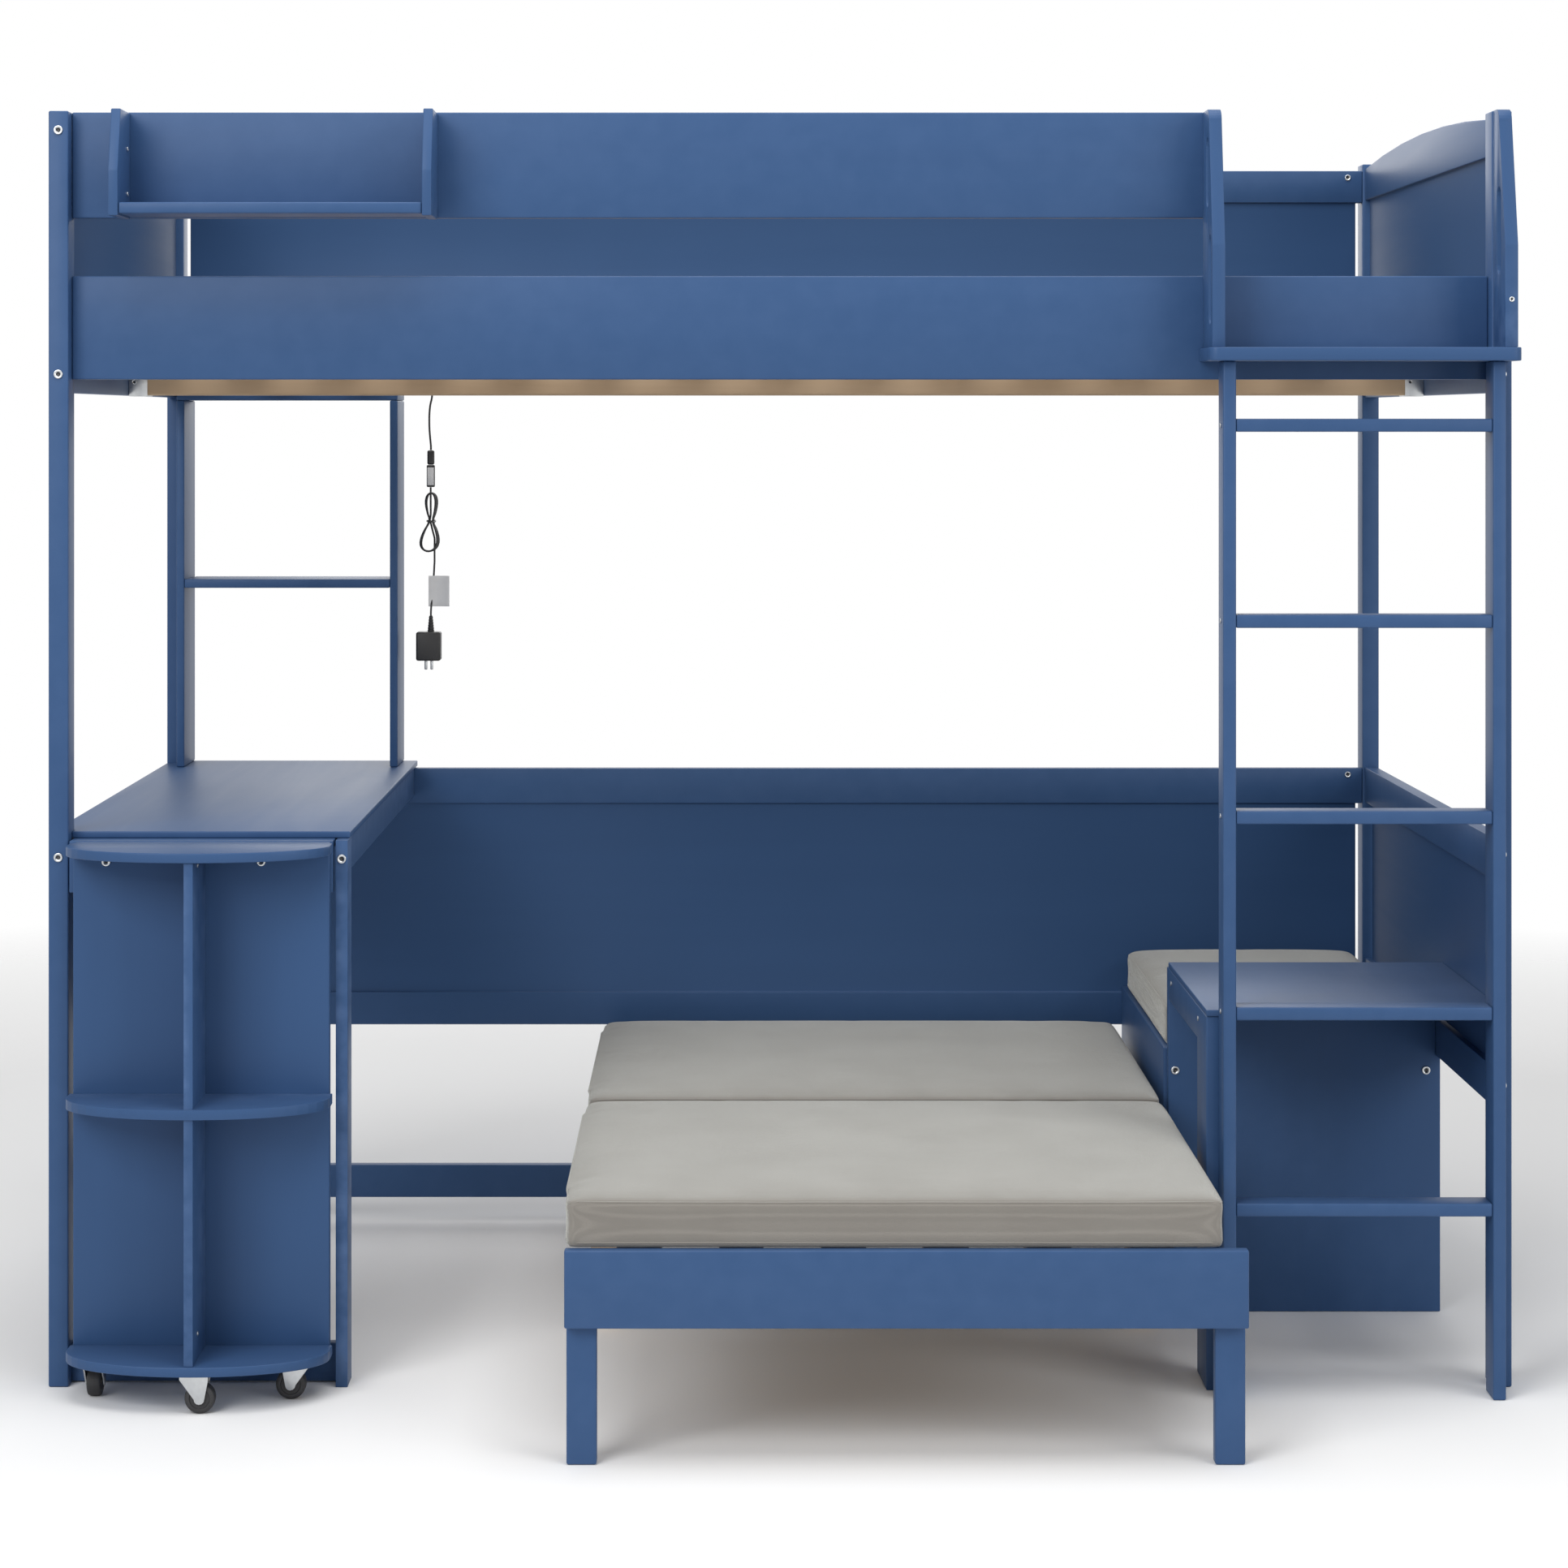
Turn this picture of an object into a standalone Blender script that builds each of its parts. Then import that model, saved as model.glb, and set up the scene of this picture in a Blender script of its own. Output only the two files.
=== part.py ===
"""Loft bed with a ladder, a desk with a pull-out front, a bench with a small table and a pull-out lower bed.

Metres, +Z up. The origin is at the floor, below the middle of the bed's whole outline, with the ladder's
side facing -Y. Places along X are counted from the outer faces of the end posts, and places along Y from
the front posts' faces.
"""

import bmesh
import bpy
from math import cos, pi, sin

# Overall sizes
LENGTH = 1.9838
FRAME_DEPTH = 1.045
PULL_OUT_REACH = 0.378
POST_WIDTH = 0.027
POST_DEPTH = 0.045
POST_HEIGHT = 1.730
GAP = 0.0003
CHAMFER = 0.0012
ARC_STEPS = 6

# Guard rails and side rails of the loft
RAIL_THICKNESS = 0.020
FRONT_RAIL_SETBACK = 0.025
SIDE_RAIL_LOW = POST_HEIGHT - 0.364
SIDE_RAIL_HEIGHT = 0.141
GUARD_RAIL_HEIGHT = 0.144
GUARD_RAIL_END = 0.3983
REAR_GUARD_LOW = POST_HEIGHT - 0.063
REAR_GUARD_HEIGHT = 0.052
PANEL_THICKNESS = 0.008
PANEL_GROOVE = 0.010

# Ends of the loft
END_SETBACK = 0.003
END_THICKNESS = 0.020
END_RAIL_LOW = POST_HEIGHT - 0.382
END_RAIL_HEIGHT = 0.050
ARCH_LOW = POST_HEIGHT - 0.059
ARCH_SIDE_HEIGHT = 0.051
ARCH_RISE = 0.019
ARCH_STEPS = 12

# Slatted base of the loft
BEAM_DEPTH = 0.045
BEAM_HEIGHT = 0.052
CLEAT_DEPTH = 0.030
CLEAT_HEIGHT = 0.034
LOFT_SLAT_WIDTH = 0.070
LOFT_SLAT_THICKNESS = 0.018
LOFT_SLATS = 15
LEFT_LOFT_SLATS = 8
LOFT_SLAT_END_ROOM = 0.012
LOFT_SLAT_CLEAT_LAP = 0.024
SLAT_SEAT = 0.002

# Ladder, its platform and the two hand rails
LADDER_RAIL_THICKNESS = 0.0175
LADDER_RAIL_DEPTH = 0.048
LADDER_LEFT_OFFSET = 0.4003
LADDER_RIGHT_OFFSET = 0.0218
LADDER_BACK = 0.018
RUNG_THICKNESS = 0.0175
RUNG_DEPTH = 0.043
RUNG_SETBACK = 0.002
RUNGS = 5
PLATFORM_LOW = POST_HEIGHT - 0.340
TOP_RUNG_DROP = 0.0775
RUNG_RISE = (PLATFORM_LOW - TOP_RUNG_DROP) / RUNGS
PLATFORM_THICKNESS = 0.018
PLATFORM_LEFT_OFFSET = 0.4203
PLATFORM_RIGHT_OFFSET = 0.0033
PLATFORM_FRONT = 0.085
PLATFORM_CORNER = 0.012
HANDRAIL_THICKNESS = 0.0172
HANDRAIL_TOP = POST_HEIGHT
HANDRAIL_KINK = POST_HEIGHT - 0.185
HANDRAIL_TOP_FRONT = 0.038
HANDRAIL_CORNER = 0.018
LEFT_HANDRAIL_OFFSET = 0.4155
LEFT_HANDRAIL_FRONT = 0.072
RIGHT_HANDRAIL_OFFSET = 0.0253
RIGHT_HANDRAIL_FRONT = 0.076
SLOT_WIDTH = 0.024
LEFT_SLOTS = (
    (POST_HEIGHT - 0.291, POST_HEIGHT - 0.170, 0.046),
    (POST_HEIGHT - 0.132, POST_HEIGHT - 0.037, 0.020),
)
RIGHT_SLOTS = ((POST_HEIGHT - 0.223, POST_HEIGHT - 0.105, 0.036),)

# Small shelf on the guard rail
GUARD_SHELF_SIDE = 0.013
GUARD_SHELF_OFFSET = 0.0935
GUARD_SHELF_WIDTH = 0.432
GUARD_SHELF_FRONT = 0.073
GUARD_SHELF_TOP_FRONT = 0.049
GUARD_SHELF_LOW = POST_HEIGHT - 0.146
GUARD_SHELF_KINK = POST_HEIGHT - 0.085
GUARD_SHELF_TOP = POST_HEIGHT - 0.001
GUARD_SHELF_BOARD_LOW = POST_HEIGHT - 0.143
GUARD_SHELF_BOARD = 0.015
GUARD_SHELF_BOARD_SETBACK = 0.003

# Desk and its hutch
DESK_WIDTH = 0.4065
DESK_LOW = 0.7413
DESK_THICKNESS = 0.009
DESK_FRONT = 0.025
DESK_BACK_ROOM = 0.005
DESK_APRON_HEIGHT = 0.044
DESK_APRON_THICKNESS = 0.018
DESK_EDGE_ROOM = 0.001
DESK_LEFT_ROOM = 0.0055
DESK_LEG_WIDTH = 0.016
DESK_LEG_DEPTH = 0.050
FOOT_RAIL_LOW = 0.002
FOOT_RAIL_HEIGHT = 0.051
FOOT_RAIL_THICKNESS = 0.018
HUTCH_THICKNESS = 0.0125
HUTCH_DEPTH = 0.115
HUTCH_RIGHT_ROOM = 0.022
HUTCH_SHELF_THICKNESS = 0.014
HUTCH_TOP_LOW = POST_HEIGHT - 0.3867
HUTCH_SHELF_DROP = 0.0023

# Pull-out front of the desk, with its rounded shelves on casters
CART_OFFSET = 0.0335
CART_WIDTH = 0.354
CART_PANEL_BACK = 0.007
CART_PANEL_THICKNESS = 0.015
CART_PANEL_INSET = 0.004
CART_STRAIGHT = 0.027
CART_ROUND = 0.091
CART_ROUND_STEPS = 24
CART_SHELF_THICKNESS = 0.013
CART_LOW = 0.050
CART_MIDDLE = 0.389
CART_TOP = 0.727
DIVIDER_THICKNESS = 0.012
DIVIDER_FRONT_ROOM = 0.004
SLIDING_TOP_THICKNESS = 0.011
SLIDING_TOP_LENGTH = 0.560
SLIDING_TOP_SIDE_ROOM = 0.0025
SLIDING_RAIL_THICKNESS = 0.018
SLIDING_RAIL_HEIGHT = 0.070

# Casters
WHEEL_RADIUS = 0.020
WHEEL_WIDTH = 0.019
WHEEL_ROUND = 0.004
WHEEL_STEPS = 24
AXLE_RADIUS = 0.003
AXLE_SIDES = 12
AXLE_ROOM = 0.0005
CASTER_TRAIL = 0.014
FORK_WALL = 0.0025
FORK_ROOM = 0.001
FORK_TOP_WALL = 0.004
FORK_NECK = 0.012
FORK_FOOT = 0.007
CASTER_SPREAD = 0.1395
CASTER_REAR_INSET = 0.0305
CASTER_FRONT_INSET = 0.100

# Lower panels
LOWER_BACK_LOW = 0.322
LOWER_BACK_BOTTOM_RAIL = 0.053
LOWER_BACK_TOP_LOW = 0.684
LOWER_BACK_TOP_RAIL = 0.057
STRETCHER_LOW = 0.039
STRETCHER_HEIGHT = 0.053
LOWER_END_LOW = 0.377
LOWER_END_BOTTOM_RAIL = 0.054
LOWER_END_TOP_LOW = 0.686
LOWER_END_TOP_RAIL = 0.057

# Bench and small table
BENCH_OFFSET = 0.4213
BENCH_PANEL_OFFSET = 0.4163
BENCH_FRONT = 0.409
BENCH_BOARD = 0.018
BENCH_SEAT_TOP = 0.385
BENCH_PANEL_TOP = 0.5047
BENCH_LOWER_EXTRA = 0.007
TABLE_THICKNESS = 0.009
TABLE_FRONT = 0.0177
TABLE_APRON_HEIGHT = 0.045
TABLE_LEG_BACK = 0.081
TABLE_LEG_FRONT = 0.016
TABLE_SIDE_THICKNESS = 0.018

# Lower bed, its pull-out part and the cushions
BED_LEFT_OFFSET = 0.7175
BED_TOP = 0.273
BED_SLAT_ROOM = 0.0085
BED_SLAT_END_ROOM = 0.0175
MOVING_SLATS = 6
MOVING_SLAT_THICKNESS = 0.018
FIXED_SLAT_THICKNESS = 0.021
FIXED_BED_FRONT = 0.306
FIXED_RAIL_DEPTH = 0.020
FIXED_RAIL_HEIGHT = 0.045
FIXED_BED_BACK_ROOM = 0.029
FIXED_LEG_WIDTH = 0.045
MOVING_SLAT_REACH = 0.330
PULL_BOARD_THICKNESS = 0.018
PULL_BOARD_HEIGHT = 0.098
PULL_BOARD_OFFSET = 0.4103
PULL_LEG_WIDTH = 0.038
PULL_LEG_DEPTH = 0.022
PULL_LEG_SIDE_ROOM = 0.002
PULL_BATTEN_DEPTH = 0.030
PULL_BATTEN_HEIGHT = 0.030
JOINT_LAP = 0.008
CUSHION_HEIGHT = 0.070
CUSHION_CROWN = 0.010
CUSHION_DRAW = 0.006
CUSHION_ROUND = 0.006
CUSHION_CUTS = 7
CUSHION_SEAM = 0.293
CUSHION_OVERHANG = 0.012
CUSHION_RIGHT_OFFSET = 0.4273
CUSHION_BACK_ROOM = 0.029
BENCH_CUSHION_RIGHT = 0.0383
BENCH_CUSHION_FRONT = 0.021
BENCH_CUSHION_BACK = 0.015

# Power lead of the light strip
CORD_DIAMETER = 0.0032
CORD_RIGHT_OF_DESK = 0.0268
LEAD_ROUTE = (
    (0.0027, 0, -0.004),
    (0.0016, 0, -0.020),
    (-0.0010, 0, -0.032),
    (-0.0024, 0, -0.046),
    (-0.0026, 0, -0.060),
    (-0.0022, 0, -0.074),
    (-0.0010, 0, -0.088),
    (0, 0, -0.099),
)
CONTROLLER_WIDTH = 0.013
CONTROLLER_DEPTH = 0.009
CONTROLLER_TOP = POST_HEIGHT - 0.468
CONTROLLER_HEIGHT = 0.060
HANK_WAIST_HEIGHT = POST_HEIGHT - 0.584
HANK_UPPER_REACH = 0.046
HANK_LOWER_REACH = 0.049
HANK_WAIST = 0.0026
HANK_UPPER_HALF = 0.0050
HANK_LOWER_HALF = 0.0110
HANK_LOWER_SHIFT = -0.0045
HANK_GROWTH = 0.0012
HANK_PITCH = 0.0042
HANK_TURNS = 3
HANK_POINTS = 24
HANK_ENTRY_SETBACK = 0.0040
HANK_EXIT_SETBACK = 0.0046
HANK_END_HEIGHT = POST_HEIGHT - 0.650
HANK_EXIT_SHIFT = 0.0045
TAIL_ROUTE_SHARES = (
    (1.00, 0), (0.96, 0.06), (0.80, 0.25), (0.55, 0.45), (0.30, 0.65), (0.10, 0.82), (0, 0.94), (0, 1),
)
ADAPTER_WIDTH = 0.040
ADAPTER_DEPTH = 0.030
ADAPTER_TOP = POST_HEIGHT - 0.764
ADAPTER_HEIGHT = 0.047
ADAPTER_SHIFT = -0.0033
RELIEF_RADIUS = 0.0055
RELIEF_TOP_RADIUS = 0.0030
RELIEF_HEIGHT = 0.026
PRONG_RADIUS = 0.0024
PRONG_LENGTH = 0.015
PRONG_SPREAD = 0.0095
ROUND_SIDES = 12

# Places that follow from the sizes
LEFT = -LENGTH / 2
RIGHT = LENGTH / 2
FRONT = (PULL_OUT_REACH - FRAME_DEPTH) / 2
BACK = FRONT + FRAME_DEPTH
INNER_LEFT = LEFT + POST_WIDTH
INNER_RIGHT = RIGHT - POST_WIDTH
INNER_FRONT = FRONT + POST_DEPTH
INNER_BACK = BACK - POST_DEPTH
RAIL_FACE = FRONT + FRONT_RAIL_SETBACK
SIDE_RAIL_TOP = SIDE_RAIL_LOW + SIDE_RAIL_HEIGHT
BEAM_TOP = END_RAIL_LOW + BEAM_HEIGHT
PLATFORM_TOP = PLATFORM_LOW + PLATFORM_THICKNESS
DESK_RIGHT = LEFT + DESK_WIDTH
DESK_TOP = DESK_LOW + DESK_THICKNESS
CART_PANEL_FRONT = FRONT - CART_PANEL_BACK - CART_PANEL_THICKNESS
CART_LEFT = LEFT + CART_OFFSET
CART_CENTRE = CART_LEFT + CART_WIDTH / 2
TABLE_LOW = BENCH_PANEL_TOP + GAP
BED_LEFT = LEFT + BED_LEFT_OFFSET
PULL_FRONT = FRONT - PULL_OUT_REACH
BED_WIDTH = LENGTH - BED_LEFT_OFFSET - PULL_BOARD_OFFSET
BED_SLAT_PITCH = (BED_WIDTH - BED_SLAT_END_ROOM) / (2 * MOVING_SLATS + 1)
BED_SLAT_WIDTH = BED_SLAT_PITCH - BED_SLAT_ROOM


def clear_scene():
    for obj in list(bpy.data.objects):
        bpy.data.objects.remove(obj, do_unlink=True)


def new_collection(name, helper=False):
    made = bpy.data.collections.new(name)
    bpy.context.scene.collection.children.link(made)
    made.hide_render = helper
    return made


def new_material(name, colour, roughness, metallic=0.0):
    """A Principled BSDF material with one colour."""
    made = bpy.data.materials.new(name)
    made.use_nodes = True
    shader = made.node_tree.nodes["Principled BSDF"]
    shader.inputs["Base Color"].default_value = (*colour, 1.0)
    shader.inputs["Roughness"].default_value = roughness
    shader.inputs["Metallic"].default_value = metallic
    return made


clear_scene()
PARTS = new_collection("Loft bed")
HELPERS = new_collection("Cutters", helper=True)
PAINT = new_material("Blue paint", (0.075, 0.140, 0.290), 0.45)
PINE = new_material("Pine", (0.540, 0.400, 0.260), 0.55)
FABRIC = new_material("Velvet", (0.330, 0.330, 0.300), 0.90)
STEEL = new_material("Zinc", (0.620, 0.630, 0.640), 0.30, 1.0)
RUBBER = new_material("Black rubber", (0.020, 0.020, 0.022), 0.60)
PLASTIC = new_material("Black plastic", (0.015, 0.015, 0.016), 0.40)


def add_object(name, data, material, parent=None, collection=PARTS):
    """Puts an object with its own copy of the material's look into a collection."""
    obj = bpy.data.objects.new(name, data)
    collection.objects.link(obj)
    data.materials.append(material.copy() if collection is PARTS else material)
    if parent:
        obj.parent = parent
    return obj


def box_mesh(name, x, y, z):
    """A box mesh about its own middle, and the place of that middle."""
    form = bmesh.new()
    bmesh.ops.create_cube(form, size=1.0)
    bmesh.ops.scale(form, vec=(x[1] - x[0], y[1] - y[0], z[1] - z[0]), verts=form.verts)
    mesh = bpy.data.meshes.new(name)
    form.to_mesh(mesh)
    form.free()
    return mesh, (sum(x) / 2, sum(y) / 2, sum(z) / 2)


def board(name, x, y, z, material=PAINT, parent=None, chamfer=CHAMFER):
    """A board given by its low and high places along each axis, with small chamfers."""
    mesh, middle = box_mesh(name, x, y, z)
    obj = add_object(name, mesh, material, parent)
    obj.location = middle
    if chamfer:
        edge = obj.modifiers.new("Edges", "BEVEL")
        edge.width = chamfer
        edge.segments = 1
        edge.limit_method = "ANGLE"
    return obj


def helper_box(name, x, y, z):
    """A box that a Boolean joins or cuts, kept out of the render."""
    mesh, middle = box_mesh(name, x, y, z)
    obj = add_object(name, mesh, PAINT, collection=HELPERS)
    obj.location = middle
    obj.display_type = "WIRE"
    obj.hide_render = True
    return obj


def boolean(target, other, operation="UNION"):
    change = target.modifiers.new(other.name, "BOOLEAN")
    change.operation = operation
    change.solver = "EXACT"
    change.object = other


def join_boxes(target, places, word):
    """Joins a box for each (x, y, z) place to the target."""
    for number, (x, y, z) in enumerate(places, 1):
        boolean(target, helper_box(f"{target.name}_{word}_{number}", x, y, z))


def arc(centre, radii, start, end, steps=ARC_STEPS):
    """Points of an elliptic arc, with its angles in turns."""
    angles = [2 * pi * (start + (end - start) * i / steps) for i in range(steps + 1)]
    return [(centre[0] + radii[0] * cos(a), centre[1] + radii[1] * sin(a)) for a in angles]


PLANE_TURNS = {"XY": (0, 0, 0), "XZ": (pi / 2, 0, 0), "YZ": (pi / 2, 0, pi / 2)}
PLANE_NORMALS = {"XY": "z", "XZ": "y", "YZ": "x"}


def outline_curve(name, plane, outlines, low, high):
    """A filled 2D curve; its first outline is the edge and the others are holes."""
    curve = bpy.data.curves.new(name, "CURVE")
    curve.dimensions = "2D"
    curve.fill_mode = "BOTH"
    curve.extrude = (high - low) / 2
    for outline in outlines:
        spline = curve.splines.new("POLY")
        spline.points.add(len(outline) - 1)
        for point, place in zip(spline.points, outline):
            point.co = (*place, 0, 1)
        spline.use_cyclic_u = True
    return curve


def outline_board(name, plane, outlines, low, high, material=PAINT, parent=None):
    """A flat board cut to an outline in the given plane, from low to high along that plane's normal."""
    obj = add_object(name, outline_curve(name, plane, outlines, low, high), material, parent)
    obj.rotation_euler = PLANE_TURNS[plane]
    setattr(obj.location, PLANE_NORMALS[plane], (low + high) / 2)
    return obj


def outline_mesh(name, plane, outlines, low, high, material=PAINT, parent=None):
    """The same board as a welded mesh, which can take a Boolean."""
    curve = outline_board(name, plane, outlines, low, high, material, parent)
    bpy.context.view_layer.update()
    graph = bpy.context.evaluated_depsgraph_get()
    mesh = bpy.data.meshes.new_from_object(curve.evaluated_get(graph))
    place = curve.matrix_world.copy()
    bpy.data.objects.remove(curve, do_unlink=True)
    form = bmesh.new()
    form.from_mesh(mesh)
    bmesh.ops.remove_doubles(form, verts=form.verts, dist=GAP / 10)
    bmesh.ops.recalc_face_normals(form, faces=form.faces)
    form.to_mesh(mesh)
    form.free()
    obj = bpy.data.objects.new(name, mesh)
    PARTS.objects.link(obj)
    obj.matrix_world = place
    obj.parent = parent
    return obj


def cylinder(name, radius, top_radius, length, place, turn, sides, material, collection, parent=None):
    """A closed cylinder or cone about its own middle, turned as given."""
    form = bmesh.new()
    bmesh.ops.create_cone(
        form, cap_ends=True, segments=sides, radius1=radius, radius2=top_radius, depth=length
    )
    mesh = bpy.data.meshes.new(name)
    form.to_mesh(mesh)
    form.free()
    obj = add_object(name, mesh, material, parent, collection)
    obj.location = place
    obj.rotation_euler = turn
    if collection is HELPERS:
        obj.display_type = "WIRE"
        obj.hide_render = True
    return obj


def empty(name):
    obj = bpy.data.objects.new(name, None)
    PARTS.objects.link(obj)
    return obj


# Posts and the boards between them

def make_posts():
    columns = {"left": (LEFT, INNER_LEFT), "right": (INNER_RIGHT, RIGHT)}
    rows = {"front": (FRONT, INNER_FRONT), "rear": (INNER_BACK, BACK)}
    for row, y in rows.items():
        for column, x in columns.items():
            board(f"{row}_{column}_post", x, y, (0, POST_HEIGHT))


def make_loft_rails():
    between = (INNER_LEFT + GAP, INNER_RIGHT - GAP)
    front = (RAIL_FACE, RAIL_FACE + RAIL_THICKNESS)
    rear = (INNER_BACK, INNER_BACK + RAIL_THICKNESS)
    guard = (INNER_LEFT + GAP, RIGHT - GUARD_RAIL_END)
    board("guard_rail", guard, front, (POST_HEIGHT - GUARD_RAIL_HEIGHT, POST_HEIGHT))
    board("front_side_rail", between, front, (SIDE_RAIL_LOW, SIDE_RAIL_TOP))
    back = board("rear_guard", between, rear, (SIDE_RAIL_LOW, SIDE_RAIL_TOP), chamfer=0)
    centre = sum(rear) / 2
    panel = (centre - PANEL_THICKNESS / 2, centre + PANEL_THICKNESS / 2)
    inset = (between[0] + PANEL_GROOVE, between[1] - PANEL_GROOVE)
    heights = (SIDE_RAIL_TOP - PANEL_GROOVE, REAR_GUARD_LOW + PANEL_GROOVE)
    join_boxes(back, [(inset, panel, heights)], "panel")
    join_boxes(back, [(between, rear, (REAR_GUARD_LOW, REAR_GUARD_LOW + REAR_GUARD_HEIGHT))], "top")


def arch_outline(front, back):
    """The end's top rail from the side: straight below, gently arched above."""
    half = (back - front) / 2
    middle = (front + back) / 2
    side = ARCH_LOW + ARCH_SIDE_HEIGHT
    shares = [2 * i / ARCH_STEPS - 1 for i in range(ARCH_STEPS + 1)]
    top = [(middle - share * half, side + ARCH_RISE * (1 - share * share)) for share in shares]
    return [(front, ARCH_LOW), (back, ARCH_LOW), *top]


def make_ends():
    y = (INNER_FRONT + GAP, INNER_BACK - GAP)
    sides = {
        "left": (LEFT + END_SETBACK, LEFT + END_SETBACK + END_THICKNESS),
        "right": (RIGHT - END_SETBACK - END_THICKNESS, RIGHT - END_SETBACK),
    }
    for side, x in sides.items():
        end = outline_mesh(f"{side}_end", "YZ", [arch_outline(*y)], *x)
        centre = sum(x) / 2
        panel = (centre - PANEL_THICKNESS / 2, centre + PANEL_THICKNESS / 2)
        low = END_RAIL_LOW + END_RAIL_HEIGHT
        inset = (y[0] + PANEL_GROOVE, y[1] - PANEL_GROOVE)
        join_boxes(end, [(panel, inset, (low - PANEL_GROOVE, ARCH_LOW + PANEL_GROOVE))], "panel")
        join_boxes(end, [(x, y, (END_RAIL_LOW, low))], "rail")


def make_loft_base():
    x = (LEFT + END_SETBACK + END_THICKNESS + GAP, RIGHT - END_SETBACK - END_THICKNESS - GAP)
    middle = (FRONT + BACK) / 2
    y = (middle - BEAM_DEPTH / 2, middle + BEAM_DEPTH / 2)
    board("centre_beam", x, y, (BEAM_TOP - BEAM_HEIGHT, BEAM_TOP), PINE)
    slat_low = BEAM_TOP + GAP
    cleat = (slat_low + SLAT_SEAT - CLEAT_HEIGHT, slat_low + SLAT_SEAT)
    front = RAIL_FACE + RAIL_THICKNESS + GAP
    back = INNER_BACK - GAP
    run = (INNER_LEFT + GAP, INNER_RIGHT - GAP)
    first = run[0] + LOFT_SLAT_END_ROOM
    pitch = (run[1] - LOFT_SLAT_END_ROOM - LOFT_SLAT_WIDTH - first) / (LOFT_SLATS - 1)
    split = first + LEFT_LOFT_SLATS * pitch - (pitch - LOFT_SLAT_WIDTH) / 2
    slat_y = (front + CLEAT_DEPTH - LOFT_SLAT_CLEAT_LAP, back - CLEAT_DEPTH + LOFT_SLAT_CLEAT_LAP)
    slat_z = (slat_low, slat_low + LOFT_SLAT_THICKNESS)
    halves = {
        "left": ((run[0], split - GAP / 2), range(LEFT_LOFT_SLATS)),
        "right": ((split + GAP / 2, run[1]), range(LEFT_LOFT_SLATS, LOFT_SLATS)),
    }
    for side, (x, numbers) in halves.items():
        base = board(f"{side}_loft_slats", x, (front, front + CLEAT_DEPTH), cleat, PINE, chamfer=0)
        join_boxes(base, [(x, (back - CLEAT_DEPTH, back), cleat)], "rear_cleat")
        lows = [first + number * pitch for number in numbers]
        join_boxes(base, [((low, low + LOFT_SLAT_WIDTH), slat_y, slat_z) for low in lows], "slat")


# Ladder, platform and hand rails

def make_ladder():
    outer = {
        "left": RIGHT - LADDER_LEFT_OFFSET,
        "right": RIGHT - LADDER_RIGHT_OFFSET - LADDER_RAIL_THICKNESS,
    }
    back = FRONT - LADDER_BACK
    y = (back - LADDER_RAIL_DEPTH, back)
    for side, x in outer.items():
        place = (x, x + LADDER_RAIL_THICKNESS)
        board(f"ladder_{side}_rail", place, y, (0, PLATFORM_LOW - GAP))
    x = (outer["left"] + LADDER_RAIL_THICKNESS + GAP, outer["right"] - GAP)
    rung_y = (y[0] + RUNG_SETBACK, y[0] + RUNG_SETBACK + RUNG_DEPTH)
    for number in range(1, RUNGS + 1):
        top = number * RUNG_RISE
        board(f"rung_{number}", x, rung_y, (top - RUNG_THICKNESS, top))


def make_platform():
    left = RIGHT - PLATFORM_LEFT_OFFSET
    right = RIGHT - PLATFORM_RIGHT_OFFSET
    front = FRONT - PLATFORM_FRONT
    back = RAIL_FACE - GAP
    notch = INNER_RIGHT - GAP
    radii = (PLATFORM_CORNER, PLATFORM_CORNER)
    outline = [
        *arc((left + PLATFORM_CORNER, front + PLATFORM_CORNER), radii, 0.5, 0.75),
        *arc((right - PLATFORM_CORNER, front + PLATFORM_CORNER), radii, 0.75, 1),
        (right, FRONT - GAP),
        (notch, FRONT - GAP),
        (notch, back),
        (left, back),
    ]
    outline_board("ladder_platform", "XY", [outline], PLATFORM_LOW, PLATFORM_TOP)


def slot_outline(centre, low, high):
    """A slot with round ends that runs upward."""
    radius = SLOT_WIDTH / 2
    radii = (radius, radius)
    return [
        *arc((centre, high - radius), radii, 0, 0.5),
        *arc((centre, low + radius), radii, 0.5, 1),
    ]


def make_handrail(name, x, front, back, slots):
    """A hand rail board that tapers above its kink and has hand slots."""
    low = PLATFORM_TOP + GAP
    top_front = FRONT - HANDRAIL_TOP_FRONT
    corner = (top_front + HANDRAIL_CORNER, HANDRAIL_TOP - HANDRAIL_CORNER)
    edge = [
        (back, low),
        (back, HANDRAIL_TOP),
        *arc(corner, (HANDRAIL_CORNER, HANDRAIL_CORNER), 0.25, 0.5),
        (front, HANDRAIL_KINK),
        (front, low),
    ]
    holes = [slot_outline(FRONT - setback, low_end, high_end) for low_end, high_end, setback in slots]
    outline_mesh(name, "YZ", [edge, *holes], x, x + HANDRAIL_THICKNESS)


def make_handrails():
    left = RIGHT - LEFT_HANDRAIL_OFFSET
    right = RIGHT - RIGHT_HANDRAIL_OFFSET
    make_handrail("left_handrail", left, FRONT - LEFT_HANDRAIL_FRONT, RAIL_FACE - GAP, LEFT_SLOTS)
    make_handrail("right_handrail", right, FRONT - RIGHT_HANDRAIL_FRONT, FRONT - GAP, RIGHT_SLOTS)


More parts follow.
